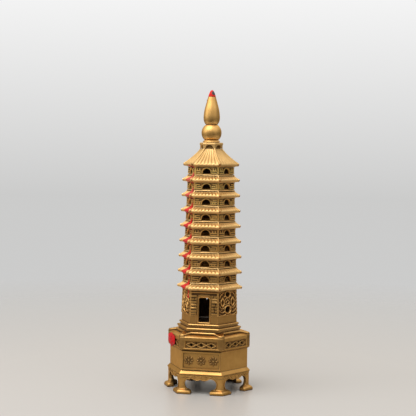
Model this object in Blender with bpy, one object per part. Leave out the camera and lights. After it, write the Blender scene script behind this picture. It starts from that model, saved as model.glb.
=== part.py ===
"""Nine-storey hexagonal pagoda, a hollow cast brass ornament on a six-legged stand.

Metres, +Z up. The origin is at the bottom centre, on the level that the feet stand on.
The front face, with the doorway, looks toward -Y. Every "radius" of a six-sided piece is
the distance from the axis to a corner; corners lie at 0, 60, 120 ... degrees from +X.
"""

import math

import bpy
import bmesh
from mathutils import Vector
from mathutils.geometry import tessellate_polygon

MM = 0.001
SIDES = 6
APOTHEM = math.cos(math.pi / SIDES)
FRONT = 4                      # side 4 runs from corner 240 to corner 300 degrees, facing -Y
LEFT = 3                       # side 3 runs from corner 180 to corner 240 degrees
GAP = 0.3 * MM                 # clearance between pieces that rest on each other

# Overall levels
TOTAL_HEIGHT = 260.0 * MM
STOREYS = 9
STOREY_PITCH = 13.27 * MM
FIRST_EAVE = 88.5 * MM
ROOF_EAVE = 194.8 * MM

# Shaft: one tapering six-sided tube, cut into storeys
SHAFT_FOOT = 58.7 * MM
SHAFT_FOOT_RADIUS = 24.65 * MM
SHAFT_TAPER = 0.0367
SHELL = 2.2 * MM               # casting thickness, measured at a corner

# Eaves
EAVE_RADIUS = 28.8 * MM
EAVE_SHRINK = 0.5 * MM         # each eave is this much smaller than the one below
ROOF_RADIUS = 24.5 * MM
CORNICE_DROP = 1.5 * MM
EDGE_DEPTH = 0.7 * MM
SLOPE_RISE = 4.0 * MM
GROOVE_TOP = 5.0 * MM
RAIL_TOP = 5.9 * MM
RAIL_OUT = 0.7 * MM
TIP_LIFT = -0.3 * MM              # the corners droop a little
TIP_REACH = 0.6 * MM

# Windows, one in every side of storeys 2 to 9
WINDOW_WIDTH = 7.8 * MM
WINDOW_HEIGHT = 4.95 * MM
WINDOW_SILL = 0.1 * MM
WINDOW_ARC_STEPS = 10

# Doorway in the front of storey 1
DOOR_WIDTH = 9.2 * MM
DOOR_SILL = 1.4 * MM
DOOR_TOP = 22.2 * MM           # measured from the foot of the frame, as the sill is
DOOR_HEAD = 2.2 * MM
DOOR_CHAMFER = 1.6 * MM
DOOR_FRAME = 1.6 * MM
DOOR_FRAME_PROUD = 0.9 * MM

# Pierced carving in the other sides of storey 1: width, height and centre of each hole
CARVING_TOP = (5.5 * MM, 4.6 * MM, 0.0, 84.1 * MM)
CARVING_BOTTOM = (6.4 * MM, 5.3 * MM, 0.0, 70.8 * MM)
CARVING_SIDE = (3.9 * MM, 7.2 * MM, 6.5 * MM, 77.3 * MM)
CARVING_CENTRE = (3.6 * MM, 2.8 * MM, 0.0, 77.2 * MM)

# Three treads, then the base blocks
STEP_RADII = (26.7 * MM, 28.7 * MM, 30.6 * MM)
STEP_TOPS = (58.7 * MM, 55.4 * MM, 52.1 * MM)
STEP_HEIGHT = 3.0 * MM
STEP_NOSE = 0.7 * MM
STEP_RING_WIDTH = 5.5 * MM
CLAW_REACH = 5.6 * MM
CLAW_DROP = 1.2 * MM
# Share of a side, and how far along the claw reaches there
CLAW_SHAPE = ((0.0, 1.0), (0.075, 0.78), (0.15, 0.0), (0.85, 0.0), (0.925, 0.78))
BAND_TOP = 49.7 * MM
BAND_BOTTOM = 37.5 * MM
BAND_RADIUS = 36.4 * MM
BAND_SHELL = 3.4 * MM
DECK_THICKNESS = 1.6 * MM
DADO_BOTTOM = 19.7 * MM
DADO_RADIUS = 34.5 * MM
DADO_SHELL = 2.8 * MM

# Lattice panels let into the band
PANEL_WIDTH = 27.4 * MM
PANEL_LOW = 39.0 * MM
PANEL_HIGH = 45.1 * MM
PANEL_DEPTH = 1.3 * MM
PANEL_RECESS = 0.9 * MM
LATTICE_PITCH = 8.8 * MM
DIAMOND_WIDTH = 3.6 * MM
DIAMOND_HEIGHT = 2.8 * MM
EYE_SIZE = 1.9 * MM
EYE_RISE = 1.45 * MM

# Stand
LIP_LEVEL = 17.3 * MM
LIP_RADIUS = 37.0 * MM
APRON_RADIUS = 36.3 * MM
APRON_SHELL = 2.5 * MM
LOBE_WIDTH = 6.5 * MM
LOBE_LEVEL = 11.4 * MM
CUSP_LEVEL = 12.3 * MM
LEG_TOP = 13.7 * MM
LEG_ARM = 8.7 * MM
PAD_RADIUS = 39.9 * MM

# Red plaque on the left side of the band
PLAQUE_CENTRE = -6.6 * MM
PLAQUE_LEVEL = 42.6 * MM
PLAQUE_WIDTH = 20.0 * MM
PLAQUE_HEIGHT = 13.0 * MM
PLAQUE_PROUD = 2.0 * MM

# Finial levels and radii
COLLAR_BOTTOM = 209.3 * MM
COLLAR_RADIUS = 10.4 * MM
COLLAR_TOP = 214.5 * MM
BALL_BOTTOM = 216.9 * MM
BALL_CENTRE = 222.9 * MM
BALL_RADIUS = 8.75 * MM
BRUSH_BOTTOM = 230.3 * MM
BRUSH_RADIUS = 7.1 * MM
TIP_BOTTOM = 254.3 * MM
TURNED_SEGMENTS = 24

# Colours, as linear values, with roughness and metallic
GOLD = ((0.62, 0.36, 0.10), 0.38, 1.0)
BRONZE = ((0.42, 0.22, 0.06), 0.42, 1.0)
RED_PAINT = ((0.50, 0.02, 0.02), 0.40, 0.0)


def clear_scene():
    """Start from an empty scene."""
    for old in list(bpy.data.objects):
        bpy.data.objects.remove(old)


def make_material(name, finish):
    """One Principled BSDF material with a plain colour."""
    colour, roughness, metallic = finish
    material = bpy.data.materials.new(name)
    material.use_nodes = True
    shader = material.node_tree.nodes["Principled BSDF"]
    shader.inputs["Base Color"].default_value = (*colour, 1.0)
    shader.inputs["Roughness"].default_value = roughness
    shader.inputs["Metallic"].default_value = metallic
    return material


def finish_object(name, mesh_builder, finish, smooth_angle=30.0):
    """Turn a bmesh into a named object with its own material."""
    bmesh.ops.remove_doubles(mesh_builder, verts=mesh_builder.verts, dist=1e-6)
    bmesh.ops.recalc_face_normals(mesh_builder, faces=mesh_builder.faces)
    mesh = bpy.data.meshes.new(name)
    mesh_builder.to_mesh(mesh)
    mesh_builder.free()
    mesh.shade_smooth()
    mesh.set_sharp_from_angle(angle=math.radians(smooth_angle))
    piece = bpy.data.objects.new(name, mesh)
    piece.data.materials.append(make_material(name + "_finish", finish))
    bpy.context.scene.collection.objects.link(piece)
    return piece


def shaft_radius(level):
    """Corner radius of the tapering shaft at a height."""
    return SHAFT_FOOT_RADIUS - SHAFT_TAPER * (level - SHAFT_FOOT)


def corner_point(radius, corner, level):
    """A corner of a level hexagon."""
    angle = math.radians(60.0 * corner)
    return Vector((radius * math.cos(angle), radius * math.sin(angle), level))


def side_normal(side):
    """Outward direction of a side, which lies between corner side and corner side + 1."""
    angle = math.radians(60.0 * side + 30.0)
    return Vector((math.cos(angle), math.sin(angle), 0.0))


def side_point(side, across, level, radius):
    """A point of a side: across is measured from its middle, toward the next corner."""
    normal = side_normal(side)
    along = Vector((-normal.y, normal.x, 0.0))
    return normal * (radius * APOTHEM) + along * across + Vector((0.0, 0.0, level))


def claw_ring(radius, level, reach, drop):
    """A hexagonal ring whose corners carry blocks that reach out and drop."""
    points = []
    for side in range(SIDES):
        start = corner_point(radius, side, level)
        end = corner_point(radius, side + 1, level)
        for share, part in CLAW_SHAPE:
            point = start.lerp(end, share)
            corner = start if share < 0.5 else end
            outward = Vector((corner.x, corner.y, 0.0)).normalized()
            point = point + outward * (reach * part)
            point.z -= drop * part
            points.append(point)
    return points


def ring(radius, level, parts=1, reach=0.0, lift=0.0):
    """A hexagonal ring; its corners may reach out and lift, and the sides stay straight."""
    points = []
    for side in range(SIDES):
        start = corner_point(radius, side, level)
        end = corner_point(radius, side + 1, level)
        for part in range(parts):
            share = part / parts
            cornerness = abs(2.0 * share - 1.0) ** 5
            point = start.lerp(end, share)
            outward = Vector((point.x, point.y, 0.0)).normalized()
            point = point + outward * (reach * cornerness)
            point.z += lift * cornerness
            points.append(point)
    return points


def loft(rings, tube):
    """Skin rings that have equally many points; a tube closes on itself, a solid is capped."""
    body = bmesh.new()
    loops = [[body.verts.new(point) for point in points] for points in rings]
    count = len(loops[0])
    pairs = list(zip(loops, loops[1:]))
    if tube:
        pairs.append((loops[-1], loops[0]))
    for lower, upper in pairs:
        for index in range(count):
            following = (index + 1) % count
            body.faces.new((lower[index], lower[following], upper[following], upper[index]))
    if not tube:
        body.faces.new(loops[0])
        body.faces.new(loops[-1])
    return body


def turned(profile):
    """Turn a profile of (radius, level) points, whose two ends lie on the axis."""
    body = bmesh.new()
    loops = []
    for radius, level in profile[1:-1]:
        loop = []
        for step in range(TURNED_SEGMENTS):
            angle = 2.0 * math.pi * step / TURNED_SEGMENTS
            loop.append(body.verts.new((radius * math.cos(angle), radius * math.sin(angle), level)))
        loops.append(loop)
    ends = [body.verts.new((0.0, 0.0, level)) for _, level in (profile[0], profile[-1])]
    for index in range(TURNED_SEGMENTS):
        following = (index + 1) % TURNED_SEGMENTS
        body.faces.new((loops[0][following], loops[0][index], ends[0]))
        body.faces.new((loops[-1][index], loops[-1][following], ends[1]))
        for lower, upper in zip(loops, loops[1:]):
            body.faces.new((lower[index], lower[following], upper[following], upper[index]))
    return body


def curve_between(start, end, steps, power):
    """Points from start to end whose radius follows a power of the height share."""
    points = []
    for step in range(steps + 1):
        share = step / steps
        radius = end[0] + (start[0] - end[0]) * (1.0 - share) ** power
        points.append((radius, start[1] + (end[1] - start[1]) * share))
    return points


def arch_outline(width, height, low):
    """A window: flat sill, short jambs and a round head."""
    radius = width / 2.0
    spring = low + max(height - radius, 0.0)
    outline = [(-radius, low), (radius, low)]
    for step in range(WINDOW_ARC_STEPS + 1):
        angle = math.pi * step / WINDOW_ARC_STEPS
        rise = min(radius, height) * math.sin(angle)
        outline.append((radius * math.cos(angle), spring + rise))
    return outline


def oval_outline(size, steps=10):
    """An oval hole given as width, height, centre across and centre level."""
    width, height, across, level = size
    outline = []
    for step in range(steps):
        angle = 2.0 * math.pi * step / steps
        outline.append((across + width / 2.0 * math.cos(angle), level + height / 2.0 * math.sin(angle)))
    return outline


def lens_outline(size, steps=5):
    """An upright lens, pointed above and below."""
    width, height, across, level = size
    outline = []
    for side in (1.0, -1.0):
        for step in range(steps):
            share = step / steps
            bulge = width / 2.0 * math.sin(math.pi * share)
            outline.append((across + side * bulge, level + side * height * (share - 0.5)))
    return outline


def diamond_outline(width, height, across, level):
    """A four-pointed hole."""
    return [(across + width / 2.0, level), (across, level + height / 2.0),
            (across - width / 2.0, level), (across, level - height / 2.0)]


def box_outline(width, low, high):
    """A rectangle about the middle of a side."""
    return [(-width / 2.0, low), (width / 2.0, low), (width / 2.0, high), (-width / 2.0, high)]


def is_wall_end(first, second, radius_at):
    """True for the upright edge of a side that it shares with the neighbouring side."""
    at_corner = [abs(abs(across) - radius_at(level) / 2.0) < 1e-6 for across, level in (first, second)]
    return all(at_corner) and first[0] * second[0] > 0.0


def pierced_face(body, side, outline, holes, radius_at, shell, wall_ends=True):
    """One side of a hollow wall: an outer and an inner skin, joined around every hole.

    outline is a closed path whose first and last points are the side's own lower corners.
    The vertical ends stay open, because the neighbouring sides close them.
    """
    loops = [outline] + holes
    flat = [Vector((across, level, 0.0)) for loop in loops for across, level in loop]
    triangles = tessellate_polygon([[Vector((a, z, 0.0)) for a, z in loop] for loop in loops])
    skins = []
    for inset in (0.0, shell):
        verts = []
        for point in flat:
            radius = radius_at(point.y)
            across = point.x
            if abs(abs(across) - radius / 2.0) < 1e-6:
                across = math.copysign((radius - inset) / 2.0, across)
            verts.append(body.verts.new(side_point(side, across, point.y, radius - inset)))
        skins.append(verts)
    outer, inner = skins
    for first, second, third in triangles:
        body.faces.new((outer[first], outer[second], outer[third]))
        body.faces.new((inner[third], inner[second], inner[first]))
    start = 0
    for loop in loops:
        count = len(loop)
        for index in range(count):
            here = start + index
            there = start + (index + 1) % count
            if wall_ends and is_wall_end(loop[index], loop[(index + 1) % count], radius_at):
                continue
            body.faces.new((outer[here], outer[there], inner[there], inner[here]))
        start += count


def pierced_wall(name, low, high, radius_at, shell, side_holes, finish, notch=None):
    """A closed six-sided wall; side_holes gives the holes of each side, notch cuts its foot."""
    body = bmesh.new()
    for side in range(SIDES):
        outline = [(-radius_at(low) / 2.0, low)]
        if notch and side == FRONT:
            outline += notch
        outline += [(radius_at(low) / 2.0, low), (radius_at(high) / 2.0, high),
                    (-radius_at(high) / 2.0, high)]
        pierced_face(body, side, outline, side_holes(side), radius_at, shell)
    return finish_object(name, body, finish)


def eave_level(storey):
    """Height of the eave edge over a storey; the last one is the roof's."""
    if storey == STOREYS:
        return ROOF_EAVE
    return FIRST_EAVE + STOREY_PITCH * (storey - 1)


def storey_range(storey):
    """Bottom and top of a storey's wall."""
    top = eave_level(storey) - CORNICE_DROP - GAP
    if storey == 1:
        return SHAFT_FOOT + GAP, top
    return eave_level(storey - 1) + RAIL_TOP + GAP, top


def cornice_rings(edge, radius, parts):
    """The flared underside of an eave, from the wall out to the tip."""
    below = shaft_radius(edge - CORNICE_DROP)
    reach = TIP_REACH
    return [
        ring(below + 0.3 * MM, edge - CORNICE_DROP, parts),
        ring(below + 1.3 * MM, edge - 1.0 * MM, parts),
        ring(radius - 1.9 * MM, edge - 0.6 * MM, parts, reach * 0.5, TIP_LIFT * 0.4),
        ring(radius - reach, edge - 0.1 * MM, parts, reach, TIP_LIFT * 0.6),
        ring(radius - reach - 0.1 * MM, edge + EDGE_DEPTH, parts, reach * 0.8, TIP_LIFT),
    ]


def make_eaves():
    """Eight tiled eaves, each carrying the balcony rail of the storey above."""
    parts = 4
    for storey in range(1, STOREYS):
        edge = eave_level(storey)
        radius = EAVE_RADIUS - EAVE_SHRINK * (storey - 1)
        above = shaft_radius(edge + SLOPE_RISE)
        rail = shaft_radius(edge + RAIL_TOP)
        rings = cornice_rings(edge, radius, parts)
        slope = curve_between((radius - TIP_REACH - 0.2 * MM, edge + EDGE_DEPTH + 0.2 * MM),
                              (above + 0.4 * MM, edge + SLOPE_RISE), 3, 1.2)
        rings.append(ring(slope[1][0], slope[1][1], parts, TIP_REACH * 0.3, TIP_LIFT * 0.3))
        rings.append(ring(slope[2][0], slope[2][1], parts))
        rings.append(ring(slope[3][0], slope[3][1], parts))
        rings.append(ring(above - 0.3 * MM, edge + SLOPE_RISE, parts))
        rings.append(ring(above - 0.3 * MM, edge + GROOVE_TOP, parts))
        rings.append(ring(rail + RAIL_OUT, edge + GROOVE_TOP, parts))
        rings.append(ring(rail + RAIL_OUT, edge + RAIL_TOP, parts))
        rings.append(ring(rail - SHELL, edge + RAIL_TOP, parts))
        rings.append(ring(shaft_radius(edge - CORNICE_DROP) - SHELL, edge - CORNICE_DROP, parts))
        finish_object("eave_%d" % storey, loft(rings, tube=True), GOLD)


def make_upper_storeys():
    """Eight storeys with an arched window in every side."""
    for storey in range(2, STOREYS + 1):
        low, high = storey_range(storey)
        window = arch_outline(WINDOW_WIDTH, WINDOW_HEIGHT, low + WINDOW_SILL)
        pierced_wall("storey_%d_wall" % storey, low, high, shaft_radius, SHELL,
                     lambda side: [window], GOLD)


def door_outline(width, low, top, chamfer):
    """Jambs and head of the doorway, from the left foot over to the right foot."""
    half = width / 2.0
    return [(-half, low), (-half, top - chamfer), (-half + chamfer, top),
            (half - chamfer, top), (half, top - chamfer), (half, low)]


def make_first_storey():
    """The tall ground storey: a doorway in front and pierced carving in the other sides."""
    low, high = storey_range(1)
    outside = DOOR_WIDTH + 2.0 * (DOOR_FRAME + GAP)
    notch = door_outline(outside, low, low + DOOR_TOP + DOOR_HEAD + GAP, DOOR_CHAMFER + DOOR_FRAME / 2.0)
    width, height, across, level = CARVING_SIDE
    carving = [oval_outline(CARVING_TOP), oval_outline(CARVING_BOTTOM, 12),
               lens_outline(CARVING_SIDE), lens_outline((width, height, -across, level)),
               diamond_outline(*CARVING_CENTRE)]
    pierced_wall("storey_1_wall", low, high, shaft_radius, SHELL,
                 lambda side: [] if side == FRONT else carving, GOLD, notch)


def make_door_frame():
    """The doorway's raised frame, which lines the opening and stands proud of the wall."""
    low = SHAFT_FOOT + GAP
    inner = door_outline(DOOR_WIDTH, low + DOOR_SILL, low + DOOR_TOP, DOOR_CHAMFER)
    outer = door_outline(DOOR_WIDTH + 2.0 * DOOR_FRAME, low, low + DOOR_TOP + DOOR_HEAD,
                         DOOR_CHAMFER + DOOR_FRAME / 2.0)
    body = bmesh.new()
    rings = []
    for outline, proud in ((inner, True), (outer, True), (outer, False), (inner, False)):
        points = []
        for across, level in outline:
            radius = shaft_radius(level)
            depth = DOOR_FRAME_PROUD if proud else -SHELL * APOTHEM
            points.append(side_point(FRONT, across, level, radius) + side_normal(FRONT) * depth)
        rings.append([body.verts.new(point) for point in points])
    for first, second in zip(rings, rings[1:] + rings[:1]):
        for index in range(len(inner)):
            following = (index + 1) % len(inner)
            body.faces.new((first[index], first[following], second[following], second[index]))
    finish_object("door_frame", body, GOLD)


def make_roof():
    """The top roof: a hollow six-sided cap with a concave slope."""
    parts = 4
    edge = ROOF_EAVE
    below = shaft_radius(edge - CORNICE_DROP)
    top_radius = 9.2 * MM
    top = COLLAR_BOTTOM - GAP
    shell = 2.0 * MM
    inner = [ring(4.0 * MM, top - shell, parts),
             ring(8.0 * MM, edge + 8.5 * MM, parts),
             ring(13.0 * MM, edge + 3.5 * MM, parts),
             ring(below - SHELL, edge - 0.4 * MM, parts),
             ring(below - SHELL, edge - CORNICE_DROP, parts)]
    outer = cornice_rings(edge, ROOF_RADIUS, parts)
    slope = curve_between((ROOF_RADIUS - TIP_REACH - 0.2 * MM, edge + EDGE_DEPTH + 0.3 * MM),
                          (top_radius, top), 6, 1.3)
    lifts = (0.4, 0.15)
    for index, (radius, level) in enumerate(slope[1:]):
        lift = lifts[index] if index < len(lifts) else 0.0
        outer.append(ring(radius, level, parts, TIP_REACH * lift, TIP_LIFT * lift))
    finish_object("roof", loft(inner + outer, tube=False), GOLD)


def make_finial():
    """Crown collar, flared base, ball, brush-shaped finial and its red point."""
    low = COLLAR_BOTTOM
    collar = [ring(8.9 * MM, low), ring(COLLAR_RADIUS - 0.5 * MM, low + 0.9 * MM),
              ring(COLLAR_RADIUS, low + 1.6 * MM), ring(COLLAR_RADIUS, COLLAR_TOP - 0.6 * MM),
              ring(COLLAR_RADIUS - 0.8 * MM, COLLAR_TOP)]
    finish_object("crown_collar", loft(collar, tube=False), GOLD)

    foot = COLLAR_TOP + GAP
    base = [(0.0, foot), (7.3 * MM, foot), (7.5 * MM, foot + 0.4 * MM),
            (7.1 * MM, foot + 1.0 * MM), (6.4 * MM, BALL_BOTTOM - GAP), (0.0, BALL_BOTTOM - GAP)]
    finish_object("finial_base", turned(base), GOLD)

    ball = [(0.0, BALL_BOTTOM), (6.3 * MM, BALL_BOTTOM)]
    for degrees in (-38.0, -24.0, -10.0, 5.0, 20.0, 35.0, 48.0):
        angle = math.radians(degrees)
        ball.append((BALL_RADIUS * math.cos(angle), BALL_CENTRE + BALL_RADIUS * math.sin(angle)))
    ball += [(5.5 * MM, BRUSH_BOTTOM - GAP), (0.0, BRUSH_BOTTOM - GAP)]
    finish_object("finial_ball", turned(ball), GOLD)

    brush = [(0.0, BRUSH_BOTTOM), (5.8 * MM, BRUSH_BOTTOM), (6.6 * MM, BRUSH_BOTTOM + 1.6 * MM),
             (BRUSH_RADIUS, BRUSH_BOTTOM + 4.5 * MM), (BRUSH_RADIUS, BRUSH_BOTTOM + 7.5 * MM),
             (6.65 * MM, 241.2 * MM), (6.05 * MM, 244.2 * MM), (5.15 * MM, 247.5 * MM),
             (3.35 * MM, TIP_BOTTOM - GAP), (0.0, TIP_BOTTOM - GAP)]
    finish_object("finial_brush", turned(brush), GOLD)

    point = [(0.0, TIP_BOTTOM), (3.3 * MM, TIP_BOTTOM), (2.75 * MM, 256.2 * MM),
             (1.9 * MM, 258.2 * MM), (1.0 * MM, 259.5 * MM), (0.0, TOTAL_HEIGHT)]
    finish_object("finial_tip", turned(point), RED_PAINT)


def make_steps():
    """Three treads; the top one is the floor behind the doorway."""
    for number, (radius, top) in enumerate(zip(STEP_RADII, STEP_TOPS), start=1):
        low = top - STEP_HEIGHT
        reach = 0.0
        drop = 0.0
        if number == len(STEP_RADII):
            low = BAND_TOP + GAP
            reach = CLAW_REACH
            drop = CLAW_DROP
        riser = radius - STEP_NOSE
        rings = [claw_ring(riser, low, reach, 0.0),
                 claw_ring(riser, top - 1.3 * MM, reach, drop * 0.8),
                 claw_ring(radius, top - 0.8 * MM, reach, drop),
                 claw_ring(radius, top - 0.3 * MM, reach, drop),
                 claw_ring(radius - 0.4 * MM, top, reach, drop)]
        if number == 1:
            body = loft(rings, tube=False)
        else:
            hole = radius - STEP_RING_WIDTH
            rings += [claw_ring(hole, top, 0.0, 0.0), claw_ring(hole, low, 0.0, 0.0)]
            body = loft(rings, tube=True)
        finish_object("step_%d" % number, body, GOLD)


def make_band():
    """The pierced band: a hollow frame with a long opening in every side."""
    opening = box_outline(PANEL_WIDTH, PANEL_LOW, PANEL_HIGH)
    top = BAND_TOP - DECK_THICKNESS - GAP
    pierced_wall("band_frame", BAND_BOTTOM + GAP, top, lambda level: BAND_RADIUS, BAND_SHELL,
                 lambda side: [opening], BRONZE)


def make_deck():
    """The deck that closes the band and carries the treads."""
    hole = STEP_RADII[-1] - STEP_RING_WIDTH
    low = BAND_TOP - DECK_THICKNESS
    rings = [ring(BAND_RADIUS, low), ring(BAND_RADIUS, BAND_TOP), ring(hole, BAND_TOP), ring(hole, low)]
    finish_object("band_deck", loft(rings, tube=True), BRONZE)


def make_lattice_panels():
    """Six pierced plates of crossing bars, let into the band's openings."""
    middle = (PANEL_LOW + PANEL_HIGH) / 2.0
    holes = [diamond_outline(DIAMOND_WIDTH, DIAMOND_HEIGHT, LATTICE_PITCH * number, middle)
             for number in (-1, 0, 1)]
    for number in (-0.5, 0.5):
        for rise in (-EYE_RISE, EYE_RISE):
            holes.append(diamond_outline(EYE_SIZE, EYE_SIZE, LATTICE_PITCH * number, middle + rise))
    outline = box_outline(PANEL_WIDTH - 2.0 * GAP, PANEL_LOW + GAP, PANEL_HIGH - GAP)
    front_radius = BAND_RADIUS - PANEL_RECESS / APOTHEM
    for side in range(SIDES):
        body = bmesh.new()
        pierced_face(body, side, outline, holes, lambda level: front_radius,
                     PANEL_DEPTH / APOTHEM, wall_ends=False)
        finish_object("lattice_panel_%d" % (side + 1), body, BRONZE)


def make_dado():
    """The plain hollow block between the stand and the band."""
    rings = [ring(DADO_RADIUS, DADO_BOTTOM + GAP), ring(DADO_RADIUS, BAND_BOTTOM - 1.0 * MM),
             ring(BAND_RADIUS, BAND_BOTTOM), ring(DADO_RADIUS - DADO_SHELL, BAND_BOTTOM),
             ring(DADO_RADIUS - DADO_SHELL, DADO_BOTTOM + GAP)]
    finish_object("dado_block", loft(rings, tube=True), BRONZE)


def apron_edge(across):
    """Height of the apron's lower edge at a distance from the middle of a side."""
    distance = abs(across)
    if distance < LOBE_WIDTH:
        return CUSP_LEVEL - (CUSP_LEVEL - LOBE_LEVEL) * math.sin(math.pi * distance / LOBE_WIDTH)
    arm_start = APRON_RADIUS / 2.0 - LEG_ARM
    rise = min((distance - LOBE_WIDTH) / (arm_start - LOBE_WIDTH), 1.0)
    return CUSP_LEVEL + (LEG_TOP + GAP - CUSP_LEVEL) * rise


def make_stand_rim():
    """The stand's sloping shoulder and the apron under it, with a lobed lower edge."""
    parts = 22
    inner_radius = APRON_RADIUS - APRON_SHELL
    rings = []
    for radius in (inner_radius, APRON_RADIUS):
        edge = []
        for side in range(SIDES):
            for part in range(parts):
                share = part / parts
                point = corner_point(radius, side, 0.0).lerp(corner_point(radius, side + 1, 0.0), share)
                point.z = apron_edge((share - 0.5) * APRON_RADIUS)
                edge.append(point)
        rings.append(edge)
    rings += [ring(APRON_RADIUS, LIP_LEVEL - 1.1 * MM, parts),
              ring(LIP_RADIUS, LIP_LEVEL - 0.6 * MM, parts),
              ring(LIP_RADIUS, LIP_LEVEL, parts),
              ring(DADO_RADIUS + 0.2 * MM, DADO_BOTTOM, parts),
              ring(DADO_RADIUS - DADO_SHELL, DADO_BOTTOM, parts),
              ring(DADO_RADIUS - DADO_SHELL, LIP_LEVEL - 2.0 * MM, parts)]
    finish_object("stand_rim", loft(rings, tube=True), BRONZE)


def leg_section(corner, radius, arm, shell, level):
    """A chevron around a corner of the stand: two arms along the sides, shell thick."""
    outer = corner_point(radius, corner, level)
    inner = corner_point(radius - shell / APOTHEM, corner, level)
    back = (corner_point(radius, corner - 1, level) - outer).normalized()
    ahead = (corner_point(radius, corner + 1, level) - outer).normalized()
    back_in = -side_normal(corner - 1) * shell
    ahead_in = -side_normal(corner) * shell
    return [outer + back * arm, outer, outer + ahead * arm,
            outer + ahead * arm + ahead_in, inner, outer + back * arm + back_in]


def make_legs():
    """Six corner legs with hollowed sides and turned-out foot pads."""
    shell = 2.5 * MM
    reach = PAD_RADIUS - APRON_RADIUS
    sections = [
        (0.0, PAD_RADIUS - 0.3 * MM, 11.3 * MM, shell + reach * 0.75),
        (0.8 * MM, PAD_RADIUS, 11.7 * MM, shell + reach * 0.8),
        (2.3 * MM, PAD_RADIUS - 0.2 * MM, 11.5 * MM, shell + reach * 0.8),
        (3.5 * MM, PAD_RADIUS - 1.6 * MM, 9.8 * MM, shell + reach * 0.4),
        (4.1 * MM, APRON_RADIUS + 0.3 * MM, 8.0 * MM, shell),
    ]
    arc_steps = 7
    arc_low = 4.6 * MM
    neck = 4.3 * MM
    for step in range(arc_steps + 1):
        share = step / arc_steps
        hollow = math.sin(math.pi * (0.12 + 0.88 * share)) ** 0.7
        start = 7.2 * MM
        end = LEG_ARM
        full = start + (end - start) * share
        arm = full - (full - neck) * min(hollow, 1.0)
        sections.append((arc_low + (LEG_TOP - arc_low) * share, APRON_RADIUS, arm, shell))
    for corner in range(SIDES):
        rings = [leg_section(corner, radius, arm, thickness, level)
                 for level, radius, arm, thickness in sections]
        finish_object("leg_%d" % (corner + 1), loft(rings, tube=False), BRONZE)


def make_plaque():
    """The red faceted plaque on the left side of the band."""
    shape = [(-0.5, -0.22), (-0.5, 0.28), (-0.02, 0.46), (0.5, 0.30), (0.5, -0.20), (0.0, -0.5)]
    body = bmesh.new()
    rings = []
    for scale, proud in ((1.0, GAP), (1.0, 0.5 * MM), (0.52, PLAQUE_PROUD)):
        loop = []
        for across, level in shape:
            point = side_point(LEFT, PLAQUE_CENTRE + across * PLAQUE_WIDTH * scale,
                               PLAQUE_LEVEL + level * PLAQUE_HEIGHT * scale, BAND_RADIUS)
            loop.append(body.verts.new(point + side_normal(LEFT) * proud))
        rings.append(loop)
    count = len(shape)
    for lower, upper in zip(rings, rings[1:]):
        for index in range(count):
            following = (index + 1) % count
            body.faces.new((lower[index], lower[following], upper[following], upper[index]))
    body.faces.new(rings[0])
    body.faces.new(rings[-1])
    finish_object("red_plaque", body, RED_PAINT, smooth_angle=5.0)


def main():
    clear_scene()
    make_stand_rim()
    make_legs()
    make_dado()
    make_band()
    make_deck()
    make_lattice_panels()
    make_plaque()
    make_steps()
    make_first_storey()
    make_door_frame()
    make_upper_storeys()
    make_eaves()
    make_roof()
    make_finial()


main()
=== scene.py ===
# %% [markdown]
# # A nine-storey cast brass pagoda, finished in Blender
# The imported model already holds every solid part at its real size: the stand, the band, the
# treads, nine storeys, eight eaves, the roof and the finial. This lesson dresses that frame.
# It adds what a mould gives to a small casting (rounded nosings, tile ridges, window arches,
# fretwork and beads) and a metal finish that is bright on top and dark in the hollows.

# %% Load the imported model
import math
import random

import bpy
import bmesh
from mathutils import Matrix, Vector


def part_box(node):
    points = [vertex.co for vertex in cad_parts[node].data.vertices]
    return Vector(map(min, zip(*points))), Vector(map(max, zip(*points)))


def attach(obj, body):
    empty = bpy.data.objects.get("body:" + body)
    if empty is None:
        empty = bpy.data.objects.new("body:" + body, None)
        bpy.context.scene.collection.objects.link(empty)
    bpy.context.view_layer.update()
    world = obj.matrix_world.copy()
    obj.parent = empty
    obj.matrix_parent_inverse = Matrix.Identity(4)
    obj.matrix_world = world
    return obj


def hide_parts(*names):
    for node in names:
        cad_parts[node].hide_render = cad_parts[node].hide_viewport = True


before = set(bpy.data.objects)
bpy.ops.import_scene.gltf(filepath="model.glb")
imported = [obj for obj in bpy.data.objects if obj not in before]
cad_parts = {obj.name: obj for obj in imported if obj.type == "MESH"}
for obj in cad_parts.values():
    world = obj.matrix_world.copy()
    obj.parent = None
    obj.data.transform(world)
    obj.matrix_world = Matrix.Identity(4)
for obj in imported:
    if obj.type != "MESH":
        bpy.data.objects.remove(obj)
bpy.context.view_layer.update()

MM = 0.001
UP = Vector((0.0, 0.0, 1.0))

# %% [markdown]
# ## Camera
# The ornament was photographed from a little to its right, slightly above its middle, with a
# long lens. A long lens keeps the storeys almost parallel. The camera's turn is built from three
# small turns in a row: around the upright axis, downward, and a slight roll.

# %% Camera
CAMERA_PLACE = Vector((0.2043, -0.9659, 0.2072))
CAMERA_TURN = 12.07
CAMERA_PITCH = 2.88
CAMERA_ROLL = 0.78
CAMERA_LENS = 98.1


def make_camera():
    """A long lens that looks at the tower from the photograph's side."""
    data = bpy.data.cameras.new("photo_camera")
    data.lens = CAMERA_LENS
    data.sensor_width = 36.0
    data.clip_start = 0.01
    camera = bpy.data.objects.new("photo_camera", data)
    bpy.context.scene.collection.objects.link(camera)
    turn = Matrix.Rotation(math.radians(CAMERA_TURN), 4, "Z")
    tilt = Matrix.Rotation(math.radians(90.0 - CAMERA_PITCH), 4, "X")
    roll = Matrix.Rotation(math.radians(CAMERA_ROLL), 4, "Z")
    camera.matrix_world = Matrix.Translation(CAMERA_PLACE) @ turn @ tilt @ roll
    bpy.context.scene.camera = camera
    return camera


camera = make_camera()
print("camera distance in mm:", round(CAMERA_PLACE.xy.length / MM, 1))

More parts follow.
